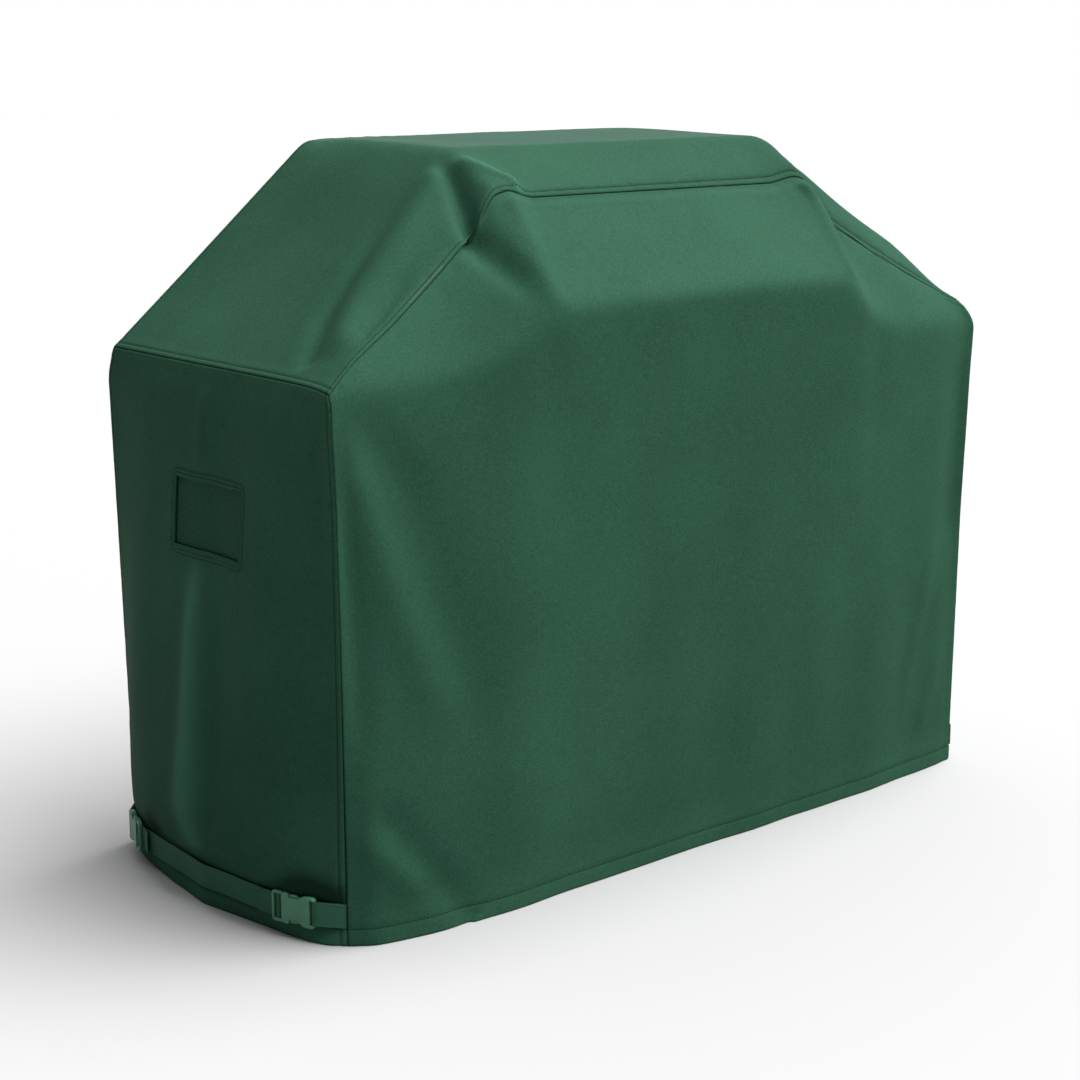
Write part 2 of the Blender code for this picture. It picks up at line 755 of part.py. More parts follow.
def tab_path(wall, buckle):
    """From the corner seam behind the bar, round it and back in front to the seam."""
    turn = buckle.around_bar(-SOCKET_L + END_BAR_L / 2, END_BAR_L / 2, 1)
    over_bar = buckle.at(-SOCKET_L - END_BAR_L, BAR_T / 2 + WEB_GAP + WEB_T / 2)
    inner = WEB_GAP + WEB_T / 2
    outer = inner + WEB_T + WEB_GAP
    sign = 1 if wall[0].y < wall[-1].y else -1
    behind = offset_path(wall, sign * inner)[0]
    front = offset_path(wall, sign * outer)[0]
    return [behind] + turn + [over_bar, front]


def mirror_matrix(end):
    return Matrix.Identity(4) if end < 0 else Matrix.Scale(-1, 4, (1, 0, 0))


def buckle_place(buckle, end, hinge_x=0.0, hinge_y=0.0):
    """World placement of a buckle piece whose origin is at (hinge_x, hinge_y) of the buckle."""
    flip = Vector((-end, 1))
    along = Vector((buckle.along.x * flip.x, buckle.along.y, 0))
    out = Vector((buckle.out.x * flip.x, buckle.out.y, 0))
    across = out.cross(along)
    spot = buckle.mouth + buckle.along * hinge_x
    origin = Vector((spot.x * flip.x, spot.y, STRAP_Z)) + across * hinge_y
    place = Matrix((along, across, out)).transposed().to_4x4()
    place.translation = origin
    return place


def add_straps_and_buckles():
    wall = end_wall_path()
    front = Buckle(wall)
    rear = Buckle(wall[::-1])
    shapes = {"socket": socket_mesh(), "plug": plug_mesh()}
    arms = {1: arm_mesh(1), -1: arm_mesh(-1)}
    for end, side in ((-1, "left"), (1, "right")):
        name = side + "_strap"
        mesh = ribbon_mesh(name, strap_path(wall, front, rear))
        mirror_mesh(mesh, end)
        add_object(name, mesh, WEB_RGB)
        for buckle, place_name, run in ((front, "front", wall), (rear, "rear", wall[::-1])):
            corner = f"{place_name}_{side}"
            mesh = ribbon_mesh(corner + "_tab", tab_path(run, buckle))
            mirror_mesh(mesh, end)
            add_object(corner + "_tab", mesh, WEB_RGB)
            for shape in ("socket", "plug"):
                mesh = shapes[shape].copy()
                add_object(f"{corner}_{shape}", mesh, PLASTIC_RGB, 0.45, buckle_place(buckle, end))
            for hand, label in ((1, "a"), (-1, "b")):
                place = buckle_place(buckle, end, HINGE_X, hand * HINGE_Y)
                add_object(f"{corner}_latch_{label}", arms[hand].copy(), PLASTIC_RGB, 0.45, place)


def mirror_mesh(mesh, end):
    if end > 0:
        mesh.transform(mirror_matrix(end))
        mesh.flip_normals()


clear_scene()
cover = build_shell()
add_panels(cover)
add_seam_tapes(cover)
add_vents()
add_straps_and_buckles()
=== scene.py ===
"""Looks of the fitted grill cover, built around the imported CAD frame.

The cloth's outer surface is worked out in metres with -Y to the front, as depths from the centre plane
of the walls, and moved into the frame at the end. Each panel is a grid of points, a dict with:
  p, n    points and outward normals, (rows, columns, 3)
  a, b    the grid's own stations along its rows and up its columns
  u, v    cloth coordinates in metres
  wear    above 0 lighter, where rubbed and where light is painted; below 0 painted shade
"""

import json
import math

import bpy
import numpy as np
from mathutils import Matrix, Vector


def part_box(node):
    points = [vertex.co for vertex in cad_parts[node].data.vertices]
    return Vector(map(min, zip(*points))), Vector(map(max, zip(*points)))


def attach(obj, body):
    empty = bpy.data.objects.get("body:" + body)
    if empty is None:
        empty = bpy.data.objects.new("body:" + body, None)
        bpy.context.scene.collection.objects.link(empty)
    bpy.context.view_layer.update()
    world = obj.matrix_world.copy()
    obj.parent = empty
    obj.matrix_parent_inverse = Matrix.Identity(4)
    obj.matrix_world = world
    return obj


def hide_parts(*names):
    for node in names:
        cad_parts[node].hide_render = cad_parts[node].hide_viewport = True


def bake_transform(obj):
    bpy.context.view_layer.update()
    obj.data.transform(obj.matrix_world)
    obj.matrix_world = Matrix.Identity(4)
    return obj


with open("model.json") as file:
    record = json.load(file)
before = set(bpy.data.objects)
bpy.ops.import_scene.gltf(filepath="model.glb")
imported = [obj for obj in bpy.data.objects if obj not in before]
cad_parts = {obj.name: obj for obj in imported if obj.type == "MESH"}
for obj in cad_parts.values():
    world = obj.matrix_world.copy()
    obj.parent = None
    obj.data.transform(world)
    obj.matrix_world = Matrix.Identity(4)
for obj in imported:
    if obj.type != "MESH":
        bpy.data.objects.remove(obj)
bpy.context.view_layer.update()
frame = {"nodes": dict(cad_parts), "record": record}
JOINTS = {joint["name"]: joint for joint in frame["record"]["behaviour"]["joints"]}

# ---------------- sizes
HALF_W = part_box("crown_panel")[1].x
TOP_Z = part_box("crown_panel")[1].z
SHOULDER_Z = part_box("left_side_panel")[1].z
VENT_LOW, VENT_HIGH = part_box("left_vent_frame")
STRAP_LOW, STRAP_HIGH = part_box("left_strap")[0].z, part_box("left_strap")[1].z
STRAP_Z = (STRAP_LOW + STRAP_HIGH) / 2

CREASE_D = 0.398  # depth of the crease under the lid
CENTRE_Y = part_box("front_panel")[0].y + CREASE_D
FRONT_D, BACK_D = 0.318, 0.302  # depths of the shoulder seam's two ends
HEM_HALF_W, REAR_HEM_HALF_W = 0.7355, 0.7225
HUMP_X = 0.332  # where the flat top ends and the slopes begin
HEM_H = 0.028
HEM_EDGE_Z = 0.0004  # the turned hem's lowest row clears the floor
# The turned-up hem's rows inside the panel: height, depth behind its face
HEM_INSIDE = [(0.0265, 0.0030), (0.017, 0.0030), (0.010, 0.0030), (0.003, 0.0030), (0, 0.0016)]
STITCH_IN, STITCH_PITCH, STITCH_L, THREAD_R, THREAD_SIDES = 0.0085, 0.0072, 0.0052, 0.0007, 6
# A stitch's rings: place along it, and radius and height in thread radii
STITCH_RINGS = np.array([(0.0, 0.35, -0.9), (0.14, 0.85, 0.1), (0.5, 1.0, 0.45), (0.86, 0.85, 0.1),
                         (1.0, 0.35, -0.9)])
VENT_BAND = 0.014
WINDOW_Y = (VENT_LOW.y - CENTRE_Y + VENT_BAND, VENT_HIGH.y - CENTRE_Y - VENT_BAND)
WINDOW_Z = (VENT_LOW.z + VENT_BAND, VENT_HIGH.z - VENT_BAND)
WINDOW_R = 0.004  # radius of the window's corners
LOOP_STEP = 0.006
# The window's binding: distance outside the window's edge, height over the cloth
BINDING = [(-0.0006, -0.0062), (-0.0006, -0.0030), (-0.0005, -0.0006), (0.0002, 0.0006), (0.0012, 0.0010),
           (0.0030, 0.0010), (0.0045, 0.0005), (0.0062, 0.0010), (0.0095, 0.0010), (0.0112, 0.0005),
           (0.0128, 0.0008), (0.0137, 0.0004), (0.0140, -0.0003)]
BINDING_ROWS = (0.0045, 0.0112)
NET_PITCH, NET_CORD_R, NET_WAVE = 0.0030, 0.00085, 0.0003
NET_BACK, NET_REACH, NET_SIDES = 0.0052, 0.007, 5
WEB_W, WEB_T, WEB_GAP = 0.040, 0.0015, 0.0004
WEB_STEP = 0.0015
SELVEDGE = [(0, 0), (0.0003, 1.0), (0.0012, 1.15), (0.0024, 0.85)]  # inset, share of the thickness
BAR_T, END_BAR_L, SLOT_L = 0.003, 0.0040, 0.0055
WEB_REACH = BAR_T / 2 + WEB_GAP + WEB_T / 2  # from a bar's middle to the webbing round it
SOCKET_L, PLUG_END, HINGE_X = 0.063, 0.0214, -0.0005
TAIL, TAIL_CLEAR, BEND_CLEAR = 0.034, 0.012, 0.010  # the strap's folded tail, and the room behind it
STRAP_LIFT = 1.5 * WEB_T + 2 * WEB_GAP + 0.0006  # from the wall to the strap's middle
TAB_INNER = WEB_GAP + WEB_T / 2 + 0.0005  # from the corner seam to the tab's inner layer
WALL_STEP, HIGH_STEP, STEP = 0.0085, 0.0050, 0.0065  # spacing of the grids' stations
FINE_Z = 0.60  # above this height the walls' rows are closer together

# Outlines: (position, value) stops that soft() joins
FRONT_HEM = [(-0.736, 0.352), (-0.70, 0.368), (-0.64, 0.380), (-0.56, 0.390), (-0.42, 0.394),
             (-0.25, 0.386), (0.0, 0.376), (0.25, 0.371), (0.50, 0.362), (0.65, 0.350), (0.736, 0.336)]
FRONT_EDGE_Z = [(-0.736, 0.868), (-0.69, 0.888), (-0.57, 0.892), (-0.50, 0.903), (-0.44, 0.922),
                (-0.385, 0.950), (-0.338, 0.984), (-0.20, 0.988), (0.20, 0.988), (0.330, 0.984),
                (0.365, 0.960), (0.390, 0.928), (0.425, 0.900), (0.53, 0.878), (0.65, 0.876),
                (0.736, 0.868)]
FRONT_EDGE_D = [(-0.736, 0.332), (-0.65, 0.347), (-0.57, 0.362), (-0.50, 0.377), (-0.44, 0.389),
                (-0.38, 0.396), (-0.335, 0.3985), (0.335, 0.3985), (0.39, 0.394), (0.43, 0.386),
                (0.53, 0.370), (0.65, 0.350), (0.736, 0.332)]
FRONT_SEAM_Z = [(-0.7365, 0.878), (-0.712, 0.899), (-0.68, 0.923), (-0.592, 0.970), (-0.50, 1.026),
                (-0.408, 1.089), (-0.385, 1.110), (-0.350, 1.153), (-0.315, 1.162), (-0.268, 1.147),
                (0.30, 1.143), (0.350, 1.152), (0.375, 1.150), (0.402, 1.105), (0.425, 1.070),
                (0.485, 1.036), (0.557, 0.998), (0.615, 0.965), (0.68, 0.934), (0.7365, 0.905)]
FRONT_SEAM_D = [(-0.7365, 0.318), (-0.59, 0.290), (-0.50, 0.270), (-0.405, 0.252), (-0.34, 0.240),
                (0.35, 0.240), (0.41, 0.256), (0.56, 0.276), (0.68, 0.296), (0.7365, 0.318)]
BACK_SEAM_Z = [(-0.7365, 0.887), (-0.60, 1.008), (-0.45, 1.143), (-0.366, 1.219), (-0.332, 1.223),
               (0.335, 1.219), (0.7365, 0.887)]
BACK_SEAM_D = [(-0.7365, 0.302), (-0.335, 0.254), (0.335, 0.254), (0.7365, 0.302)]
SIDE_HEM = [(-0.338, 0.7355), (-0.318, 0.757), (-0.29, 0.770), (-0.24, 0.780), (-0.17, 0.790),
            (-0.10, 0.801), (-0.035, 0.812), (0.09, 0.797), (0.20, 0.777), (0.27, 0.758), (0.31, 0.7225)]
CROWN_TOP = [(0, TOP_Z), (HUMP_X, TOP_Z), (HALF_W, SHOULDER_Z)]
CROWN_FULL = [(0, TOP_Z), (HUMP_X, TOP_Z), (0.43, 1.151), (0.50, 1.100), (0.59, 1.040), (0.68, 0.984),
              (HALF_W, 0.935)]
HIP_Y = [(-HALF_W, -0.235), (-0.62, -0.170), (-0.44, -0.122), (-0.335, -0.092), (-0.25, -0.115),
         (0.30, -0.175), (0.345, -0.185), (0.45, -0.205), (0.60, -0.228), (HALF_W, -0.260)]

# Folds: the points of each one's line, its width (or one at each end), its height and, where it isn't
# even, the share of its length over which each end dies out
FRONT_FOLDS = [
    ([(-0.735, 0.885), (-0.690, 0.70), (-0.645, 0.55), (-0.52, 0.27)], (0.018, 0.05), 0.008),
    ([(-0.72, 0.88), (-0.62, 0.73), (-0.53, 0.42), (-0.44, 0.20)], (0.025, 0.09), -0.009),
    ([(-0.728, 0.74), (-0.712, 0.52), (-0.705, 0.28)], 0.020, -0.007),
    ([(-0.733, 0.19), (-0.67, 0.13), (-0.60, 0.06)], 0.026, 0.006),
    ([(-0.70, 0.24), (-0.62, 0.13), (-0.52, 0.00)], 0.028, -0.006, (0.2, 0.01)),
    ([(0.655, 0.47), (0.60, 0.28), (0.565, 0.12)], 0.016, 0.004),
    ([(0.69, 0.26), (0.655, 0.16), (0.61, 0.07)], 0.015, 0.005),
    ([(0.71, 0.84), (0.70, 0.60), (0.685, 0.40)], 0.035, -0.006),
    ([(0.415, 0.92), (0.44, 0.70), (0.47, 0.40)], (0.03, 0.08), -0.003, (0.1, 0.6)),
    ([(-0.345, 0.97), (-0.36, 0.74), (-0.38, 0.45)], (0.03, 0.09), -0.002, (0.1, 0.6)),
    ([(-0.412, 1.10), (-0.385, 1.055), (-0.352, 0.992)], (0.024, 0.014), -0.028, (0.02, 0.4)),
    ([(-0.318, 1.165), (-0.324, 1.08), (-0.338, 0.985)], 0.018, 0.010, (0.05, 0.1)),
    ([(0.425, 1.07), (0.408, 1.02), (0.385, 0.94)], (0.020, 0.012), -0.016, (0.02, 0.4)),
    ([(0.362, 1.15), (0.360, 1.06), (0.352, 0.98)], 0.014, 0.012, (0.05, 0.1)),
]
BACK_FOLDS = [
    ([(0.72, 0.88), (0.64, 0.66), (0.50, 0.34)], (0.02, 0.06), 0.010),
    ([(0.70, 0.89), (0.58, 0.74), (0.44, 0.45)], (0.02, 0.08), -0.010),
    ([(0.34, 1.20), (0.37, 0.98), (0.40, 0.72)], (0.02, 0.06), 0.008),
]
SIDE_FOLDS = [
    ([(0.005, 0.86), (0.008, 0.76), (0.012, 0.70)], 0.016, 0.005),
    ([(0.006, 0.62), (0.009, 0.44), (0.011, 0.28), (0.005, 0.10)], (0.026, 0.046), 0.015, (0.35, 0.12)),
    ([(-0.062, 0.52), (-0.060, 0.34), (-0.060, 0.12)], (0.020, 0.030), -0.005, (0.4, 0.1)),
    ([(-0.140, 0.58), (-0.19, 0.47), (-0.23, 0.33)], 0.030, 0.003),
    ([(-0.305, 0.87), (-0.302, 0.72), (-0.300, 0.52)], 0.014, -0.006),
]
CROWN_FOLDS = [
    ([(-0.40, -0.105), (-0.52, -0.125), (-0.62, -0.158), (-0.71, -0.225)], (0.020, 0.017), -0.014,
     (0.4, 0.05)),
    ([(-0.35, -0.120), (-0.48, -0.170), (-0.60, -0.205), (-0.69, -0.262)], 0.026, 0.016, (0.1, 0.1)),
    ([(-0.50, -0.225), (-0.60, -0.262), (-0.67, -0.282)], 0.016, -0.006),
    ([(0.40, -0.14), (0.54, -0.185), (0.68, -0.25)], 0.024, 0.005),
    ([(-0.34, 0.05), (-0.50, 0.10), (-0.70, 0.14)], 0.05, -0.004),
    ([(0.34, 0.02), (0.50, 0.08), (0.70, 0.10)], 0.05, -0.004),
    ([(-0.348, -0.100), (-0.366, -0.170), (-0.404, -0.262)], (0.008, 0.015), -0.033, (0.30, 0.05)),
    ([(-0.338, -0.125), (-0.312, -0.180), (-0.285, -0.242)], 0.009, 0.012, (0.15, 0.1)),
    ([(0.365, -0.170), (0.395, -0.215), (0.425, -0.262)], (0.010, 0.018), -0.018, (0.35, 0.01)),
]
# Painted highlights along the ridges of folds: written the same way, with the strength of the painted
# lightening in place of the height
# On the side panels, along their broad fold
SIDE_FOLD_HIGHLIGHT = ([(0.012, 0.60), (0.013, 0.43), (0.013, 0.30), (0.006, 0.19), (-0.004, 0.08)],
              (0.018, 0.034), 0.0056, (0.18, 0.04))
# On the crown, along the ridge beside the lid
HUMP_RIDGE_HIGHLIGHT = ([(-0.342, -0.112), (-0.312, -0.180), (-0.280, -0.252)], 0.0055, 0.0052, (0.15, 0.15))

# The panels' CAD nodes by their short names
NODES = {"front": "front_panel", "back": "back_panel", "crown": "crown_panel",
         "left": "left_side_panel", "right": "right_side_panel"}


# ---------------- small helpers
def soft(value, stops, radius):
    """Straight lines through (position, value) stops, rounded where they meet."""
    xs, vs = (np.array(c, float) for c in zip(*stops))
    first = (vs[1] - vs[0]) / (xs[1] - xs[0])
    last = (vs[-1] - vs[-2]) / (xs[-1] - xs[-2])
    xs = np.concatenate([[xs[0] - 1], xs, [xs[-1] + 1]])
    vs = np.concatenate([[vs[0] - first], vs, [vs[-1] + last]])
    value = np.asarray(value, float)
    shifts = np.linspace(-radius, radius, 11)
    return np.mean([np.interp(value + s, xs, vs) for s in shifts], axis=0)


def softmin(a, b, blend):
    return 0.5 * (a + b - np.sqrt((a - b) ** 2 + blend ** 2))


def ramp(value):
    return np.clip(value, 0, 1)


def ease(value):
    """A ramp from 0 to 1 with a soft start and a soft end."""
    t = ramp(value)
    return t * t * (3 - 2 * t)


def bump(value, centre, width):
    return np.exp(-((value - centre) / width) ** 2)


def unit(vectors):
    return vectors / np.maximum(np.linalg.norm(vectors, axis=-1, keepdims=True), 1e-12)


def run_lengths(points):
    """Distance along a line of points, from the first."""
    return np.concatenate([[0], np.cumsum(np.linalg.norm(np.diff(points, axis=0), axis=1))])


def tube_quads(rings, sides, first=0):
    """Faces of a tube whose points are counted ring by ring."""
    ids = np.arange(rings * sides).reshape(rings, sides) + first
    following = np.roll(ids, -1, axis=1)
    return np.stack([ids[:-1], following[:-1], following[1:], ids[1:]], axis=-1).reshape(-1, 4)


def stations(low, high, step, marks=()):
    """Positions from low to high, closer together beside both ends and at the marks."""
    fine = [0, 0.0008, 0.0016, 0.003, 0.0048, 0.007, 0.0085, 0.010, 0.0125, 0.017, 0.024]
    stops = [low + f for f in fine] + [high - f for f in fine]
    for mark in marks:
        stops += [mark - 0.0015, mark, mark + 0.0015]
    stops = sorted(stops)
    result = []
    for a, b in zip(stops, stops[1:]):
        count = max(1, round((b - a) / step))
        result += list(np.linspace(a, b, count, endpoint=False))
    return np.array(result + [stops[-1]])


def fold(a, b, line, width, height, ends=(0.25, 0.25)):
    """A ridge (or, below 0, a valley) along a line of (a, b) points, dying out at both ends."""
    total = sum(math.dist(p, q) for p, q in zip(line, line[1:]))
    best = np.full(np.shape(a), np.inf)
    along = np.zeros(np.shape(a))
    done = 0.0
    for p, q in zip(line, line[1:]):
        way = np.array(q) - np.array(p)
        length = float(np.hypot(*way))
        t = ramp(((a - p[0]) * way[0] + (b - p[1]) * way[1]) / length ** 2)
        dist = np.hypot(a - p[0] - t * way[0], b - p[1] - t * way[1])
        along = np.where(dist < best, (done + t * length) / total, along)
        best = np.minimum(best, dist)
        done += length
    fade = ease(along / ends[0]) * ease((1 - along) / ends[1])
    wide = width[0] + (width[1] - width[0]) * along if isinstance(width, tuple) else width
    return height * fade * np.exp(-(best / wide) ** 2)


def folds(a, b, rows):
    return sum(fold(a, b, *row) for row in rows)


def ripple(a, b, seed, scale, count=7):
    """Gentle irregular waves, the same on every run."""
    rng = np.random.default_rng(seed)
    total = np.zeros(np.broadcast(a, b).shape)
    for _ in range(count):
        ka, kb = rng.normal(0, 1, 2) / np.array(scale)
        total = total + np.sin(2 * math.pi * (ka * a + kb * b) + rng.uniform(0, 6.28))
    return total / math.sqrt(count)


# ---------------- outer surface
def front_corner(z, end):
    """(half width, depth) of a front corner seam at height z; the right one bulges out more."""
    out, at, ahead = (0.027, 0.856, 0.006) if end > 0 else (0.008, 0.84, 0)
    half = soft(z, [(0, HEM_HALF_W), (0.08, HEM_HALF_W), (0.50, HALF_W + out * 0.15),
                    (0.72, HALF_W + out * 0.5), (at, HALF_W + out), (SHOULDER_Z, HALF_W)], 0.02)
    depth = soft(z, [(0, 0.338), (0.09, 0.338), (0.70, 0.336 + ahead), (0.85, 0.332 + ahead),
                     (SHOULDER_Z, FRONT_D)], 0.02)
    return half, depth


def back_corner(z):
    half = soft(z, [(0, REAR_HEM_HALF_W), (0.08, REAR_HEM_HALF_W), (0.84, HALF_W + 0.008),
                    (SHOULDER_Z, HALF_W)], 0.02)
    depth = soft(z, [(0, 0.310), (0.85, 0.310), (SHOULDER_Z, BACK_D)], 0.02)
    return half, depth


def beside_hump(x, level):
    """The folds beside the lid slant inwards on their way down: how far the seam's profile is shifted."""
    left = 0.050 * bump(x, -0.375, 0.065)
    right = 0.030 * bump(x, 0.385, 0.060)
    return (right - left) * (1 - level)


def stretch_up(z, lift):
    """Heights of a wall's rows, so that the top one lies on its seam, lift above the shoulder."""
    return z + lift * ease((z / SHOULDER_Z - 0.25) / 0.75)


def near_border(share, reach=0.06):
    """1 inside a wall, easing to 0 at its two corner seams."""
    near = ramp((1 - np.abs(share)) / reach)
    return near * (2 - near)


def sewn_depth(depth, s, z, corner, seam):
    """A wall's depth, brought onto its corner seams and, at its top row, onto its crown seam."""
    depth = corner + (depth - corner) * near_border(s)
    return seam + (depth - seam) * ramp((SHOULDER_Z - z) / 0.012)


def tent_depth(x, z, edge_z, edge_d):
    """Depth of the front between the crease under the lid and the crown seam."""
    true_z = soft(x, FRONT_SEAM_Z, 0.010)
    level = ramp((z - edge_z) / np.maximum(true_z - edge_z, 0.01))
    moved = x + beside_hump(x, level)
    leaning = 0.9 * (1 - level) * (bump(x, -0.375, 0.08) + bump(x, 0.385, 0.08))
    seam_d = soft(moved, FRONT_SEAM_D, 0.015) + (true_z - soft(moved, FRONT_SEAM_Z, 0.010)) * leaning
    return edge_d + (seam_d - edge_d) * (z - edge_z) / np.maximum(true_z - edge_z, 0.012)


def front_grid(xs, zs):
    """Outer face of the front panel, hem first."""
    s, z0 = np.meshgrid(xs / HALF_W, zs)
    x = s * HALF_W
    z = stretch_up(z0, soft(x, FRONT_SEAM_Z, 0.010) - SHOULDER_Z)
    half, corner = (np.where(s < 0, a, b) for a, b in zip(front_corner(z0, -1), front_corner(z0, 1)))
    hem = soft(x, FRONT_HEM, 0.05)
    edge_z, edge_d = soft(x, FRONT_EDGE_Z, 0.022), soft(x, FRONT_EDGE_D, 0.02)
    wall = hem + (edge_d - hem) * z / edge_z
    tent = tent_depth(x, z, edge_z, edge_d)
    depth = softmin(wall, tent, 0.004 + 0.010 * (1 - bump(x, 0, 0.36))) + folds(x, z, FRONT_FOLDS)
    low = ramp(1 - z) * (0.35 + 0.65 * ramp(z / 0.2))
    depth += 0.0040 * low * ripple(x, z, 3, (0.60, 2.6)) + 0.0005 * ripple(x, z, 5, (0.25, 0.50))
    depth = sewn_depth(depth, s, z0, corner, soft(x, FRONT_SEAM_D, 0.012))
    return np.stack([s * half, -depth, z], axis=-1)


def back_grid(xs, zs):
    """Outer face of the back panel, hem first: flat above the shoulders, with folds in from its corners."""
    s, z0 = np.meshgrid(xs / HALF_W, zs)
    x = s * HALF_W
    seam_z, seam_d = soft(x, BACK_SEAM_Z, 0.012), soft(x, BACK_SEAM_D, 0.015)
    z = stretch_up(z0, seam_z - SHOULDER_Z)
    half, corner = back_corner(z0)
    bow = 1 - np.abs(s) ** 3
    wall = corner + (0.016 + 0.004 * ramp(1 - z / SHOULDER_Z)) * bow
    over = ramp((z - 0.85) / np.maximum(seam_z - 0.85, 0.02))
    depth = wall + (seam_d - wall) * over ** 1.3
    depth += 0.006 * ramp(1.1 - z) * ripple(x, z, 11, (0.55, 2.4)) * bow
    depth += 0.0006 * ripple(x, z, 12, (0.25, 0.50)) * bow
    depth += folds(x, z, BACK_FOLDS) + folds(-x, z, BACK_FOLDS)
    return np.stack([s * half, sewn_depth(depth, s, z0, corner, seam_d), z], axis=-1)


def side_bulge(end, s, y, z):
    """How far a side panel's cloth stands out from its corner seams."""
    bow = 1 - np.abs(s) ** 3
    out = soft(z, [(0, 0.068), (0.07, 0.068), (0.15, 0.074), (0.48, 0.040), (SHOULDER_Z, 0)], 0.03) * bow
    hem_share = ramp(1 - z / 0.035)
    middle = ramp(1 - (s / 0.55) ** 2) * ramp((0.12 - z) / 0.09)
    flare = (soft(y, SIDE_HEM, 0.012) - (HEM_HALF_W + 0.068 * bow)) * np.maximum(hem_share, middle)
    out += flare * ramp((1 - np.abs(s)) / 0.05)
    out += side_folds(end, y, z) * np.minimum(1, bow * 2.5)
    seed = 21 if end < 0 else 22
    out += 0.0025 * bow * ramp(z / 0.3) * ripple(y, z, seed, (0.30, 2.2))
    return out + 0.0004 * bow * ripple(y, z, seed + 5, (0.16, 0.40))


def side_folds(end, y, z):
    """A side panel's folds, and the cloth that bulges over its strap."""
    if end > 0:
        y = -y * 0.9 - 0.02
    above = ramp((z - STRAP_HIGH - 0.001) / 0.030)
    above = above * (2 - above) * ramp(soft(z, [(0, 1), (0.12, 1), (0.30, 0)], 0.03))
    reach = 0.007 - 0.004 * ramp((y - 0.03) / 0.2) + 0.003 * bump(y, -0.19, 0.10)
    over = above * (reach + 0.003 * ripple(y, z, 31 + end, (0.22, 3.0)))
    return folds(y, z, SIDE_FOLDS) + over - 0.003 * bump(z, STRAP_Z, 0.022)


def side_grid(end, ys, zs, front_seam, back_seam):
    """Outer face of a side panel between its two corner seams, hem first."""
    f = (ys - ys[0]) / (ys[-1] - ys[0])
    s = np.broadcast_to(2 * f - 1, (len(zs), len(ys)))
    front, back = front_seam[:, None], back_seam[:, None]
    base = front + (back - front) * f[None, :, None]
    out = side_bulge(end, s, base[..., 1], base[..., 2])
    level = (zs / SHOULDER_Z)[:, None]
    top = ramp((1 - level) / 0.056)
    out = out * top * (2 - top)
    near_top = ease((level - 0.65) / 0.35)
    bow = 1 - np.abs(s) ** 3
    result = np.array(base)
    if end < 0:
        result[..., 2] += 0.009 * (1 - f) * (1 - np.exp(-f / 0.05)) * near_top
    else:
        out = out + 0.020 * bow * near_top
        result[..., 2] += 0.026 * bow * near_top
    result[..., 0] += end * out
    return result


def crown_height(x, y, front_y, back_y):
    """Height of the crown: flat top and slopes, then down over the hip to the front seam."""
    top = soft(np.abs(x), CROWN_TOP, 0.016)
    forward = ramp((0.22 - y) / 0.34)
    rise = np.where(x > 0, (soft(x, CROWN_FULL, 0.016) - top) * (0.25 + 0.75 * forward), 0)
    top = top + rise + 0.003 * bump(x, 0, 0.3) * bump(y, 0.05, 0.15)
    top += 0.012 * bump(x, -0.40, 0.07) * ramp((y + 0.10) / 0.25)
    hip = soft(x, HIP_Y, 0.03)
    level = ramp((y - hip) / (front_y - hip))
    moved = x + beside_hump(x, level)
    drop = (soft(np.abs(moved), CROWN_TOP, 0.016) + rise - soft(moved, FRONT_SEAM_Z, 0.010)) * level
    rounding = 0.020
    drop = 0.5 * (drop + np.sqrt(drop ** 2 + (rounding * level) ** 2)) - 0.5 * rounding * level
    z = top - drop
    behind = ramp((y - 0.14) / (back_y - 0.14))
    z += (soft(x, BACK_SEAM_Z, 0.012) - z) * behind ** 2
    return z + folds(x, y, CROWN_FOLDS) + 0.0006 * ripple(x, y, 41, (0.30, 0.30))


def crown_grid(xs, ys, front_seam, back_seam, left_top, right_top):
    """Outer face of the crown between the two crown seams, front first."""
    x, frac = np.meshgrid(xs, (ys - ys[0]) / (ys[-1] - ys[0]))
    front, back = front_seam[None], back_seam[None]
    result = front + (back - front) * frac[..., None]
    z = crown_height(x, result[..., 1], front[..., 1], back[..., 1])
    inside = ramp(np.minimum(frac, 1 - frac) * (ys[-1] - ys[0]) / 0.02)
    seam_z = np.where(frac < 0.5, front[..., 2], back[..., 2])
    result[..., 2] = seam_z + (z - seam_z) * inside * (2 - inside)
    for column, line in ((0, left_top), (-1, right_top)):
        shift = line - result[:, column]
        result += shift[:, None] * ease(1 - np.abs(x - xs[column]) / 0.11)[..., None]
    return result


def relax(p, a, b, passes=4, clear=0.026):
    """Softens a grid's inside by averaging neighbours; its borders and the cloth beside them stay."""
    across, up = np.meshgrid(a, b)
    near = np.minimum(np.minimum(across - a[0], a[-1] - across), np.minimum(up - b[0], b[-1] - up))
    share = ramp((near - clear) / 0.02)[1:-1, 1:-1, None]
    for _ in range(passes):
        around = (p[:-2, 1:-1] + p[2:, 1:-1] + p[1:-1, :-2] + p[1:-1, 2:]) / 4
        p[1:-1, 1:-1] += (around - p[1:-1, 1:-1]) * 0.8 * share


def panel_grid(p, a, b, outward, hem=True):
    across, up = np.gradient(p, axis=1), np.gradient(p, axis=0)
    n = unit(np.cross(across, up))
    flip = n.mean((0, 1)) @ np.array(outward) < 0
    return {"p": p, "n": -n if flip else n, "a": a, "b": b, "hem": hem, "flip": flip}


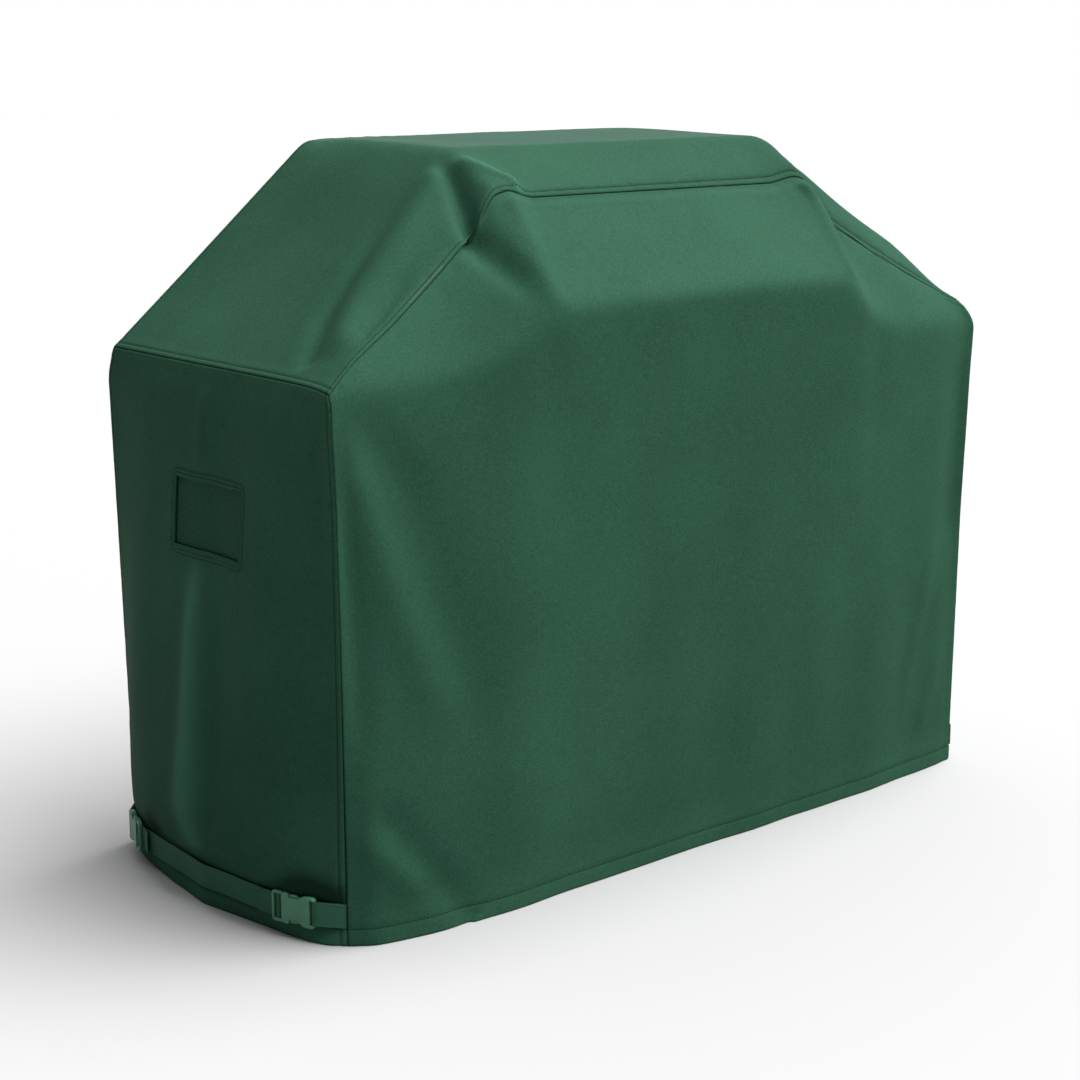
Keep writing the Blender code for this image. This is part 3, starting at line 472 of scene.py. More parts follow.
def make_grids():
    """The five panels' grids, joined at their borders."""
    xs = stations(-HALF_W, HALF_W, STEP)
    ys = stations(-FRONT_D, BACK_D, STEP)
    low_zs = stations(0, SHOULDER_Z, WALL_STEP, (HEM_H, STRAP_HIGH + 0.002, STRAP_HIGH + 0.009))
    high_zs = stations(FINE_Z - 0.003, SHOULDER_Z, HIGH_STEP)
    zs = np.concatenate([low_zs[low_zs < FINE_Z], high_zs[high_zs >= FINE_Z + 0.003]])
    front, back = front_grid(xs, zs), back_grid(xs, zs)
    left = side_grid(-1, ys, zs, front[:, 0], back[:, 0])
    right = side_grid(1, ys, zs, front[:, -1], back[:, -1])
    crown = crown_grid(xs, ys, front[-1], back[-1], left[-1], right[-1])
    relax(front, xs, zs)
    relax(crown, xs, ys)
    return {
        "front": panel_grid(front, xs, zs, (0, -1, 0.3)),
        "back": panel_grid(back, xs, zs, (0, 1, 0.3)),
        "left": panel_grid(left, ys, zs, (-1, 0, 0)),
        "right": panel_grid(right, ys, zs, (1, 0, 0)),
        "crown": panel_grid(crown, xs, ys, (0, 0, 1), hem=False),
    }


# ---------------- panels
def border(g):
    """The (row, column) places of a grid's border points."""
    rows, cols = g["p"].shape[:2]
    ends = [(r, c) for r in range(rows) for c in (0, -1)]
    return ends + [(r, c) for c in range(1, cols - 1) for r in (0, -1)]


def share_border_normals(grids):
    """Panels that meet at a seam turn in the same way there, so no gap opens between them."""
    total = {}
    for g in grids.values():
        for place in border(g):
            key = tuple(np.round(g["p"][place], 4))
            total[key] = total.get(key, 0) + g["n"][place]
    for g in grids.values():
        for place in border(g):
            g["n"][place] = unit(total[tuple(np.round(g["p"][place], 4))])


def measure(points, axis):
    """Length along the grid's rows (axis 1) or columns (axis 0), from the first."""
    step = np.linalg.norm(np.diff(points, axis=axis), axis=-1)
    pad = [(0, 0), (0, 0)]
    pad[axis] = (1, 0)
    return np.pad(np.cumsum(step, axis=axis), pad)


def seam_relief(d, stitched, along, seed):
    """The height of the cloth at distance d from a seam, and its colour mark: painted shade in the seam's
    groove and along its stitch row, and a little lighter where the turned allowance is rubbed.
    """
    turned = ramp((d - 0.0006) / 0.0022) * ramp((0.0165 - d) / 0.0045)
    seam = bump(d, 0, 0.0011)
    high = 0.0006 * turned - 0.0022 * seam
    # Painted shade in the groove; the turned allowance a little lighter, rubbed
    wear_and_painted_light = 0.0003 * turned - 0.0026 * seam
    if stitched:
        # Painted shade along the stitch row's dent
        row = bump(d, STITCH_IN, 0.0014)
        high, wear_and_painted_light = high - 0.0010 * row, wear_and_painted_light - 0.0013 * row
    pucker = ripple(along, 0 * along, seed, (0.035, 1.0), 5)
    return high + 0.0003 * pucker * bump(d, 0.012, 0.010), wear_and_painted_light


def hem_relief(z, along, seed):
    """The height of the cloth at a hem, and painted shade along the dent of its stitch row."""
    high = 0.0002 * ramp((HEM_H - 0.0008 - z) / 0.0016) - 0.0007 * bump(z, HEM_H, 0.0014)
    high -= 0.0014 * ramp(1 - z / 0.002)
    high += 0.0003 * ripple(along, z, seed + 3, (0.09, 3), 5) * bump(z, HEM_H - 0.004, 0.018)
    # Painted shade along the stitch row's dent
    return high, -0.0009 * bump(z, HEM_H, 0.0016)


def strap_shade(y, z):
    """Painted shade in the crevice over the strap, most beside the buckles, and a little just under it; the
    hem below it painted lighter.
    """
    most = bump(y, -0.285, 0.065) + 0.7 * bump(y, 0.150, 0.045)
    deep = 0.010 + 0.036 * most
    above, below = z - STRAP_HIGH, STRAP_LOW - z
    over = np.exp(-(np.maximum(above, 0) / deep) ** 3) * ramp(above / 0.004 + 1)
    under = 0.08 * bump(np.maximum(below, 0), 0, 0.006) * ramp(below / 0.004 + 1)
    # The hem below the strap painted lighter; painted shade over and under the strap
    return 0.0028 * ramp((below - 0.002) / 0.008) - (0.0010 + 0.0018 * most) * (over + under)


def relieve(name, g, seed):
    """Moves a panel's points along their normals for its seams and hem, and works out its colour marks:
    rubbed places, painted shade and painted highlights.
    """
    u, v = measure(g["p"], 1), measure(g["p"], 0)
    x, y, z = np.moveaxis(g["p"], -1, 0)
    a, b = g["a"], g["b"]
    across, up = np.meshgrid(a, b)
    crown, side = name == "crown", name in ("left", "right")
    seams = [(across - a[0], crown or side, v, seed + 5), (a[-1] - across, crown or side, v, seed + 6),
             (b[-1] - up, crown, u, seed + 6)]
    if crown:
        seams.append((up - b[0], True, u, seed + 5))
    parts = [seam_relief(*seam) for seam in seams]
    if g["hem"]:
        parts.append(hem_relief(z, u, seed))
    rise, wear_and_painted_light = (sum(values) for values in zip(*parts))
    # Side panels: painted shade over and under the strap, the hem below it painted lighter, and a painted
    # highlight along the broad fold
    if side:
        wear_and_painted_light = wear_and_painted_light + strap_shade(y, z) + fold(y, z, *SIDE_FOLD_HIGHLIGHT)
    # The crown: a painted highlight along the ridge beside the lid
    if crown:
        wear_and_painted_light = wear_and_painted_light + fold(x, y, *HUMP_RIDGE_HIGHLIGHT)
    g["u"], g["v"], g["wear_and_painted_light"] = u, v, wear_and_painted_light
    g["p"] = g["p"] + rise[..., None] * g["n"]
    g["p"][..., 2] = np.maximum(g["p"][..., 2], 0)


def outside_window(g):
    """Which cells of a side panel's grid stay: all but those of its window."""
    p = g["p"]
    middle = (p[:-1, :-1] + p[1:, :-1] + p[:-1, 1:] + p[1:, 1:]) / 4
    y, z = middle[..., 1], middle[..., 2]
    return ~((y > WINDOW_Y[0]) & (y < WINDOW_Y[1]) & (z > WINDOW_Z[0]) & (z < WINDOW_Z[1]))


def mesh_object(name, points, faces, material, uv=None, wear_and_painted_light=None, caps=()):
    """A smooth-shaded piece, moved into the frame, with cloth coordinates in metres; caps are flat ends."""
    points = points.reshape(-1, 3)
    used = np.unique(faces)
    lookup = np.zeros(len(points), int)
    lookup[used] = np.arange(len(used))
    placed = points[used] + [0, CENTRE_Y, 0]
    mesh = bpy.data.meshes.new(name)
    mesh.from_pydata(placed.tolist(), [], lookup[faces].tolist() + [list(cap) for cap in caps])
    mesh.polygons.foreach_set("use_smooth", [True] * len(faces) + [False] * len(caps))
    if uv is not None:
        layer = mesh.uv_layers.new(name="cloth")
        loops = np.zeros(len(mesh.loops), int)
        mesh.loops.foreach_get("vertex_index", loops)
        cloth = np.stack(uv, axis=-1).reshape(-1, 2)
        layer.data.foreach_set("uv", cloth[used][loops].astype(np.float32).ravel())
    if wear_and_painted_light is not None:
        # Colour marks per point, in mm: rubbed places, painted highlights and painted shade
        spot = mesh.attributes.new("wear_and_painted_light", "FLOAT", "POINT")
        spot.data.foreach_set("value", (wear_and_painted_light.ravel()[used] * 1000).astype(np.float32))
    mesh.materials.append(material)
    obj = bpy.data.objects.new(name, mesh)
    bpy.context.scene.collection.objects.link(obj)
    return obj


def panel_object(name, g, material, window):
    """A panel's mesh with its cloth coordinates; a hem is turned up inside it."""
    p, u, v, wear_and_painted_light = g["p"], g["u"], g["v"], g["wear_and_painted_light"]
    cells = outside_window(g) if window else np.ones((len(p) - 1, p.shape[1] - 1), bool)
    if g["hem"]:
        rows = [int(np.argmin(np.abs(g["b"] - z))) for z, _ in HEM_INSIDE]
        behind = np.array([deep for _, deep in HEM_INSIDE])[:, None, None]
        inner = p[rows] - g["n"][rows] * [1, 1, 0] * behind
        inner[-1, :, 2] += HEM_EDGE_Z
        p = np.concatenate([inner, p])
        u = np.concatenate([u[rows], u])
        v = np.concatenate([-v[rows], v])
        wear_and_painted_light = np.concatenate([wear_and_painted_light[rows], wear_and_painted_light])
        cells = np.concatenate([np.ones((len(rows), p.shape[1] - 1), bool), cells])
    ids = np.arange(u.size).reshape(u.shape)
    quads = np.stack([ids[:-1, :-1], ids[:-1, 1:], ids[1:, 1:], ids[1:, :-1]], axis=-1)[cells]
    if g["flip"]:
        quads = quads[:, ::-1]
    return mesh_object(name, p, quads, material, (u, v), wear_and_painted_light)


def make_panels(grids, material):
    share_border_normals(grids)
    for number, (name, g) in enumerate(grids.items()):
        relieve(name, g, 50 + 10 * number)
    panels = {}
    for key, node in NODES.items():
        obj = panel_object(node + "_cloth", grids[key], material, key in ("left", "right"))
        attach(obj, "cover")
        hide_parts(node)
        panels[key] = obj
    return panels


# ---------------- stitches
def stitch_row(line, normals):
    """Points and faces of a row of stitches along a line that lies on the cloth."""
    run = run_lengths(line)
    starts = np.arange(STITCH_PITCH, run[-1] - STITCH_PITCH, STITCH_PITCH)

    def at(values, distance):
        return np.stack([np.interp(distance, run, values[:, k]) for k in range(3)], axis=-1)

    place, radius, height = STITCH_RINGS.T * [[1], [THREAD_R], [THREAD_R]]
    where = starts[:, None] + place * STITCH_L
    out = unit(at(normals, where))
    way = unit(at(line, starts + STITCH_L) - at(line, starts))[:, None]
    side = unit(np.cross(way, out))
    centre = at(line, where) + out * height[:, None]
    turn = np.arange(THREAD_SIDES)[:, None] * 2 * math.pi / THREAD_SIDES
    ring = np.cos(turn) * side[:, :, None] + 0.8 * np.sin(turn) * out[:, :, None]
    points = centre[:, :, None] + ring * radius[:, None, None]
    each = len(STITCH_RINGS) * THREAD_SIDES
    faces = np.arange(len(starts))[:, None, None] * each + tube_quads(len(STITCH_RINGS), THREAD_SIDES)
    return points.reshape(-1, 3), faces.reshape(-1, 4)


def joined(pieces):
    """One array of points and one of faces, from several (points, faces)."""
    points, faces = zip(*pieces)
    firsts = np.cumsum([0] + [len(p) for p in points[:-1]])
    return np.concatenate(points), np.concatenate([f + first for f, first in zip(faces, firsts)])


def stitches(name, rows, material):
    """One piece of thread work from several rows of (line, normals)."""
    obj = mesh_object(name, *joined([stitch_row(*row) for row in rows]), material)
    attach(obj, "cover")
    return obj


def grid_line(g, axis, place):
    """Points and normals across a grid at the station nearest to a place on its axis."""
    k = int(np.argmin(np.abs(g[axis] - place)))
    return [values[k] if axis == "b" else values[:, k] for values in (g["p"], g["n"])]


def make_sewing(grids, material):
    """The rows of stitches on the crown's four seams, the corner seams and the hems."""
    crown = grids["crown"]
    (x0, x1), (y0, y1) = (crown[axis][[0, -1]] + [STITCH_IN, -STITCH_IN] for axis in "ab")
    sewing = {}
    for side, axis, place in (("front", "b", y0), ("back", "b", y1), ("left", "a", x0), ("right", "a", x1)):
        name = side + ("_crown_stitching" if axis == "b" else "_shoulder_stitching")
        sewing[side] = stitches(name, [grid_line(crown, axis, place)], material)
    for side in ("left", "right"):
        rows = [grid_line(grids[side], "a", y) for y in (y0, y1)]
        sewing[side + "_corners"] = stitches(side + "_corner_stitching", rows, material)
    for side in ("front", "back", "left", "right"):
        rows = [grid_line(grids[side], "b", HEM_H)]
        sewing[side + "_hem"] = stitches(side + "_hem_stitching", rows, material)
    return sewing


# ---------------- vents
def on_side(g, y, z, lift):
    """Points on a side panel's finished cloth at each y and z, lifted off it, and the normals there."""
    levels = g["p"][:, :, 2].mean(axis=1)
    r = np.interp(z, levels, np.arange(len(levels)))
    r0 = np.minimum(r.astype(int), len(levels) - 2)
    t = (r - r0)[:, None, None]
    rows, ways = (values[r0] * (1 - t) + values[r0 + 1] * t for values in (g["p"], g["n"]))

    def at_y(values):
        return np.array([[np.interp(yy, row[:, 1], line[:, k]) for k in range(3)]
                         for yy, row, line in zip(y, rows, values)])

    normals = unit(at_y(ways))
    return at_y(rows) + normals * np.reshape(lift, (-1, 1)), normals


def window_loop(offset):
    """Points round the window at a distance outside its edge, with rounded corners."""
    radius = WINDOW_R + offset
    (y0, y1), (z0, z1) = ((low + WINDOW_R, high - WINDOW_R) for low, high in (WINDOW_Y, WINDOW_Z))
    arcs = []
    for y, z, start in ((y1, z0, -90), (y1, z1, 0), (y0, z1, 90), (y0, z0, 180)):
        angles = np.radians(start + 15 * np.arange(7))
        arcs.append(np.stack([y + radius * np.cos(angles), z + radius * np.sin(angles)], axis=-1))
    points = []
    for arc, following in zip(arcs, arcs[1:] + arcs[:1]):
        count = round(math.dist(arc[-1], following[0]) / LOOP_STEP)
        points += [*arc, *np.linspace(arc[-1], following[0], count, endpoint=False)[1:]]
    return np.array(points)


def binding_object(side, g, material):
    """The bound frame round a side panel's window."""
    points = np.stack([on_side(g, *window_loop(offset).T, lift)[0] for offset, lift in BINDING])
    count = points.shape[1]
    quads = tube_quads(len(BINDING), count)
    if side == "right":
        quads = quads[:, ::-1]
    v, u = np.meshgrid([offset for offset, _ in BINDING], np.arange(count) * LOOP_STEP, indexing="ij")
    # Painted shade: darker on the rows that turn down into the window, and a little along the two stitch
    # rows
    wear_and_painted_light = -0.0017 * (v < 0) - 0.0008 * np.isin(v, BINDING_ROWS)
    return mesh_object(side + "_vent_binding", points, quads, material, (u, v), wear_and_painted_light)


def screen_object(side, g, material):
    """Knitted screen: a net of round cords that pass over and under each other, behind the window."""
    y_lines, z_lines = (np.arange(low - NET_REACH, high + NET_REACH, NET_PITCH)
                        for low, high in (WINDOW_Y, WINDOW_Z))
    turn = np.arange(NET_SIDES)[:, None] * 2 * math.pi / NET_SIDES
    cords = []
    for swap, (lines, along) in enumerate(((y_lines, z_lines), (z_lines, y_lines))):
        for i, place in enumerate(lines):
            wave = NET_WAVE * np.where((np.arange(len(along)) + i + swap) % 2, 1, -1)
            fixed = np.full(len(along), place)
            y, z = (along, fixed) if swap else (fixed, along)
            centre, out = on_side(g, y, z, wave - NET_BACK)
            across = np.cross(unit(np.gradient(centre, axis=0)), out)
            ring = np.cos(turn) * across[:, None] + np.sin(turn) * out[:, None]
            points = centre[:, None] + NET_CORD_R * ring
            cords.append((points.reshape(-1, 3), tube_quads(len(centre), NET_SIDES)))
    return mesh_object(side + "_vent_screen", *joined(cords), material)


def add_vent(side, g, materials):
    """The bound frame round a window, its two rows of stitches and the screen behind it."""
    binding = binding_object(side, g, materials["fabric"])
    loops = [window_loop(offset) for offset in BINDING_ROWS]
    rows = [on_side(g, *np.append(loop, loop[:1], axis=0).T, THREAD_R) for loop in loops]
    stitches(side + "_vent_stitching", rows, materials["thread"])
    screen = screen_object(side, g, materials["net"])
    for obj, node, slot in ((binding, "_vent_frame", "panel_fabric"), (screen, "_vent_mesh", "vent_mesh")):
        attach(obj, "cover")
        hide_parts(side + node)


# ---------------- straps and tabs
class Buckle:
    """Where a buckle lies in plan: x runs from its socket to its plug, z away from the cover."""

    def __init__(self, corner):
        self.along = np.array(JOINTS[corner + "_plug_pull"]["axis"][:2])
        a, b = (np.array(JOINTS[f"{corner}_latch_{k}_pinch"]["pos_m"]) for k in "ab")
        self.mouth = ((a + b) / 2)[:2] - self.along * HINGE_X - [0, CENTRE_Y]
        out = np.array([-self.along[1], self.along[0]])
        self.out = out if out @ self.mouth > 0 else -out

    def at(self, x, z):
        return self.mouth + self.along * x + self.out * z

    def turn(self, x, half_length, way):
        """Round the far side of a bar, from behind it to in front of it."""
        angles = np.linspace(0, math.pi, 9)
        return [self.at(x + way * (half_length + WEB_REACH * math.sin(t)), -WEB_REACH * math.cos(t))
                for t in angles]


def even_path(path, passes):
    """A plan path at even steps with its bends softened, and the distance along it."""
    run = run_lengths(path)
    count = max(2, round(run[-1] / WEB_STEP) + 1)
    where = np.linspace(0, run[-1], count)
    path = np.stack([np.interp(where, run, path[:, k]) for k in range(2)], axis=-1)
    for _ in range(passes):
        path[1:-1] = (path[:-2] + 2 * path[1:-1] + path[2:]) / 4
    return path, where


def ribbon(name, path, material, passes=3):
    """Webbing on edge along a plan path, with rounded selvedges."""
    path, run = even_path(np.array(path), passes)
    way = unit(np.gradient(path, axis=0))
    side = np.stack([-way[:, 1], way[:, 0]], axis=-1)
    half, t = WEB_W / 2, WEB_T / 2
    section = [(inset - half, t * share) for inset, share in SELVEDGE]
    section += [(v, t) for v in (-0.010, 0.0, 0.010)]
    section += [(half - inset, t * share) for inset, share in SELVEDGE[::-1]]
    section += [(v, -s) for v, s in section[-2:0:-1]]
    v, s = np.array(section).T
    plan = path[:, None] + side[:, None] * s[:, None]
    points = np.dstack([plan, np.broadcast_to(STRAP_Z + v, plan.shape[:2])]).reshape(-1, 3)
    cloth = (np.repeat(run, len(v)), np.tile(v + half, len(path)))
    first, last = range(len(v)), range(len(points) - 1, len(points) - 1 - len(v), -1)
    obj = mesh_object(name, points, tube_quads(len(path), len(v)), material, cloth, caps=(first, last))
    return obj


def wall_run(g, end):
    """Plan path of a finished side panel's outermost cloth at the strap, front to back."""
    level = g["p"][:, :, 2].mean(axis=1)
    line = g["p"][(STRAP_LOW <= level) & (level <= STRAP_HIGH)][:, :, :2]
    path = line.mean(axis=0)
    path[:, 0] = end * (end * line[..., 0]).max(axis=0)
    return path


def strap_end(buckle):
    """From the strap's run behind the outer bar, over the middle bar and back under, to the tail's end."""
    bar = PLUG_END - END_BAR_L - SLOT_L - BAR_T / 2
    edge = PLUG_END - END_BAR_L / 2
    near, deep = -WEB_REACH - 0.0002, -WEB_REACH - WEB_T - 2 * WEB_GAP
    path = [buckle.at(edge + 0.004, near), buckle.at(edge - 0.0035, near)]
    path += [buckle.at(bar + BAR_T / 2, WEB_REACH)] + buckle.turn(bar, BAR_T / 2, -1)[-2:0:-1]
    return path + [buckle.at(bar, deep + 0.0003), buckle.at(edge, deep), buckle.at(edge + TAIL, deep)]


def add_strap(side, end, g, material):
    """A strap in two halves, each held by one buckle's plug."""
    run = wall_run(g, end)
    way = unit(np.gradient(run, axis=0))
    out = np.stack([-way[:, 1], way[:, 0]], axis=-1)
    run = run + out * np.sign(out[:, :1] * end) * STRAP_LIFT
    middle = len(run) // 2
    for place, half in (("front", run[:middle + 1][::-1]), ("rear", run[middle:])):
        buckle = Buckle(f"{place}_{side}")
        clear = buckle.at(PLUG_END + TAIL + TAIL_CLEAR, 0)[1]
        part = [p for p in half if (p[1] > clear) == (place == "front")]
        obj = ribbon(f"{side}_strap_{place}", part + strap_end(buckle), material)
        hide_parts(side + "_strap")
        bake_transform(obj)


def add_tab(side, end, place, g, material):
    """The short tab from the corner seam behind the socket's bar, round it and back to the seam."""
    buckle = Buckle(f"{place}_{side}")
    corner = wall_run(g, end)[0 if place == "front" else -1]
    turn = buckle.turn(-SOCKET_L + END_BAR_L / 2, END_BAR_L / 2, 1)
    path = [corner + buckle.out * TAB_INNER, turn[0] - buckle.along * 0.010] + turn
    seam_end = corner + buckle.out * (TAB_INNER + WEB_T + WEB_GAP)
    path += [buckle.at(-SOCKET_L - END_BAR_L, WEB_REACH), seam_end]
    obj = ribbon(f"{place}_{side}_webbing_tab", path, material, passes=2)
    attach(obj, "cover")
    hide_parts(f"{place}_{side}_tab")


# ---------------- materials
class Nodes:
    """Short ways to add and join shader nodes."""

    def __init__(self, tree):
        self.tree = tree

    def put(self, socket, value):
        if isinstance(value, bpy.types.NodeSocket):
            self.tree.links.new(value, socket)
        else:
            socket.default_value = value

    def add(self, kind, inputs=(), **settings):
        """A new node, whose inputs are (name or number, value or another node's output)."""
        node = self.tree.nodes.new("ShaderNode" + kind)
        for key, value in settings.items():
            setattr(node, key, value)
        for key, value in inputs:
            self.put(node.inputs[key], value)
        return node

    def math(self, operation, *values):
        return self.add("Math", enumerate(values), operation=operation).outputs[0]

    def times(self, a, b):
        return self.math("MULTIPLY", a, b)

    def plus(self, a, b):
        return self.math("ADD", a, b)

    def wave(self, value, period):
        """Rises from 0 to 1 and falls back in every period."""
        return self.math("ABSOLUTE", self.math("SINE", self.times(value, math.pi / period)))

    def cloth(self):
        return self.add("UVMap", uv_map="cloth").outputs[0]

    def place(self):
        return self.add("TexCoord").outputs["Object"]

    def split(self, vector):
        return self.add("SeparateXYZ", [(0, vector)]).outputs

    def noise(self, vector, scale, detail=3.0, stretch=(1, 1, 1), rough=0.5):
        mapping = self.add("Mapping", [("Vector", vector), ("Scale", stretch)])
        where = ("Vector", mapping.outputs[0])
        inputs = [where, ("Scale", scale), ("Detail", detail), ("Roughness", rough)]
        return self.add("TexNoise", inputs).outputs["Fac"]

    def ramp(self, value, stops):
        node = self.add("ValToRGB", [(0, value)])
        while len(node.color_ramp.elements) < len(stops):
            node.color_ramp.elements.new(0.5)
        for element, (place, colour) in zip(node.color_ramp.elements, stops):
            element.position = place
            element.color = (*colour, 1)
        return node.outputs[0]

    def mix(self, factor, a, b, blend="MIX"):
        a, b = ((*value, 1) if isinstance(value, tuple) else value for value in (a, b))
        inputs = [(0, factor), (6, a), (7, b)]
        return self.add("Mix", inputs, data_type="RGBA", blend_type=blend).outputs[2]

    def bump(self, height, strength, distance, normal=None):
        inputs = [("Height", height), ("Strength", strength), ("Distance", distance)]
        if normal is not None:
            inputs.append(("Normal", normal))
        return self.add("Bump", inputs).outputs[0]

    def surface(self, shader, colour, roughness, normal):
        """Joins a shader's colour, its roughness as (value, times, plus) and its normal."""
        self.put(shader["Base Color"], colour)
        self.put(shader["Roughness"], self.math("MULTIPLY_ADD", *roughness))
        self.put(shader["Normal"], normal)


def new_material(name, roughness, specular=0.5):
    mat = bpy.data.materials.new(name)
    mat.use_nodes = True
    shader = mat.node_tree.nodes["Principled BSDF"]
    shader.inputs["Roughness"].default_value = roughness
    shader.inputs["Specular IOR Level"].default_value = specular
    return mat, Nodes(mat.node_tree), shader.inputs


BLACK, WHITE = (0, 0, 0), (1, 1, 1)


def lighter(colour, factor):
    return tuple(min(1, c * factor) for c in colour)


def weave_height(nodes, uv, pitch=0.0011):
    """Plain weave: threads that pass over and under each other, from cloth coordinates in metres."""
    across, along, _ = nodes.split(uv)
    a = nodes.math("DIVIDE", across, pitch)
    b = nodes.math("DIVIDE", along, pitch)
    odd = nodes.math("MODULO", nodes.plus(nodes.math("FLOOR", a), nodes.math("FLOOR", b)), 2.0)
    odd = nodes.math("ABSOLUTE", odd)
    over = nodes.times(nodes.wave(a, 1), nodes.math("SUBTRACT", 1.0, odd))
    return nodes.plus(over, nodes.times(nodes.wave(b, 1), odd))


def colour_with_rubbing_and_painted_light(nodes, colour, dark, light):
    """The cloth's colour, lighter where it is rubbed and where light is painted, and darker where shade is
    painted in its crevices.
    """
    wear_and_painted_light = nodes.add("Attribute", attribute_name="wear_and_painted_light").outputs["Fac"]
    # Lighter: rubbed places and painted highlights, mixed towards the light colour brightened
    rubbed_and_painted_light = nodes.times(nodes.math("MAXIMUM", wear_and_painted_light, 0.0), 0.10)
    colour = nodes.mix(rubbed_and_painted_light, colour, lighter(light, 1.9))
    # Painted shade: mixed towards a quarter of the dark colour
    painted_shade = nodes.math("MINIMUM", nodes.times(nodes.math("MINIMUM", wear_and_painted_light, 0.0), -0.45), 0.85)
    return nodes.mix(painted_shade, colour, lighter(dark, 0.25))


def fabric_material(name, dark, middle, light):
    """Coated polyester oxford: a fine weave, faint slubs, soft crinkles, lighter rubbed edges, and painted
    light and shade.
    """
    mat, nodes, shader = new_material(name, 0.62, specular=0.02)
    uv, where = nodes.cloth(), nodes.place()
    weave = weave_height(nodes, uv)
    slubs = nodes.plus(nodes.noise(uv, 1.0, 2.0, (900, 26, 1)), nodes.noise(uv, 1.0, 2.0, (26, 900, 1)))
    cloud = nodes.noise(where, 5.0, 4.0)
    mottle = nodes.noise(where, 70.0, 3.0)
    grain = nodes.noise(where, 270.0, 2.0)
    tone = nodes.plus(nodes.times(cloud, 0.45), nodes.times(mottle, 0.22))
    tone = nodes.plus(tone, nodes.times(slubs, 0.14))
    tone = nodes.plus(tone, nodes.times(grain, 0.72))
    colour = nodes.ramp(tone, [(0.58, dark), (0.80, middle), (1.0, light)])
    shade = nodes.math("MULTIPLY_ADD", weave, 0.16, 0.90)
    colour = nodes.mix(1.0, colour, nodes.ramp(shade, [(0.0, BLACK), (1.0, WHITE)]), "MULTIPLY")
    # Painted sheen: faces that look straight up are mixed a tenth of the way to a pale grey
    facing = nodes.split(nodes.add("NewGeometry").outputs["Normal"])
    flat = nodes.ramp(facing[2], [(0.955, BLACK), (0.99, WHITE)])
    colour = nodes.mix(nodes.times(flat, 0.10), colour, (0.15, 0.15, 0.18))
    # Painted shade: darker towards the bottom, most at 9 cm up, none below 3 cm or above 62 cm
    low_painted_shade = nodes.ramp(nodes.split(where)[2], [(0.03, WHITE), (0.09, (0.88, 0.89, 0.89)), (0.62, WHITE)])
    colour = nodes.mix(1.0, colour, low_painted_shade, "MULTIPLY")
    crinkle = nodes.bump(nodes.noise(where, 16.0, 5.0, (1, 1, 0.7), 0.55), 0.30, 0.0012)
    threads = nodes.plus(weave, nodes.times(slubs, 0.6))
    normal = nodes.bump(threads, 0.35, 0.0002, nodes.bump(grain, 0.50, 0.0008, crinkle))
    nodes.surface(shader, colour_with_rubbing_and_painted_light(nodes, colour, dark, light), (mottle, 0.16, 0.56), normal)
    return mat


def webbing_material(name, dark, light):
    """Ribbed nylon webbing: slanting ribs across its width and cords along it."""
    mat, nodes, shader = new_material(name, 0.55, specular=0.06)
    uv = nodes.cloth()
    along, across, _ = nodes.split(uv)
    slant = nodes.plus(along, nodes.times(nodes.math("PINGPONG", across, 0.005), 0.6))
    high = nodes.plus(nodes.wave(slant, 0.0016), nodes.times(nodes.wave(across, 0.0022), 0.5))
    blotches = nodes.noise(uv, 1.0, 3.0, (60, 160, 1))
    tone = nodes.plus(nodes.times(high, 0.35), nodes.times(blotches, 0.5))
    colour = nodes.ramp(tone, [(0.2, dark), (0.85, light)])
    nodes.surface(shader, colour, (tone, 0.2, 0.45), nodes.bump(high, 0.6, 0.0004))
    return mat


def plastic_material(name, dark, light):
    """Moulded acetal: a fine spark-eroded grain, faint flow clouds and lighter rubbed edges."""
    mat, nodes, shader = new_material(name, 0.38, specular=0.20)
    where = nodes.place()
    grain = nodes.noise(where, 1400.0, 2.0)
    colour = nodes.ramp(nodes.noise(where, 60.0, 3.0), [(0.3, dark), (0.7, light)])
    edge = nodes.add("NewGeometry").outputs["Pointiness"]
    worn = nodes.ramp(edge, [(0.50, BLACK), (0.60, WHITE)])
    colour = nodes.mix(nodes.times(worn, 0.35), colour, lighter(light, 1.6))
    nodes.surface(shader, colour, (grain, 0.18, 0.30), nodes.bump(grain, 0.25, 0.0002))
    return mat


def tape_material(name, dark, light):
    """Coated tape: a fine twill and slightly rubbed patches."""
    mat, nodes, shader = new_material(name, 0.5, specular=0.15)
    where = nodes.place()
    x, y, z = nodes.split(where)
    twill = nodes.wave(nodes.plus(nodes.plus(x, y), z), 0.0014)
    cloud = nodes.noise(where, 40.0, 3.0)
    colour = nodes.ramp(cloud, [(0.3, dark), (0.7, light)])
    nodes.surface(shader, colour, (cloud, 0.2, 0.42), nodes.bump(twill, 0.4, 0.0002))
    return mat


def thread_material(name, dark, light):
    """Spun thread: fine plies, a little shinier on top."""
    mat, nodes, shader = new_material(name, 0.55, specular=0.05)
    ply = nodes.noise(nodes.place(), 2500.0, 2.0)
    colour = nodes.ramp(ply, [(0.3, dark), (0.7, light)])
    nodes.surface(shader, colour, (ply, 0.3, 0.35), nodes.bump(ply, 0.3, 0.0002))
    return mat


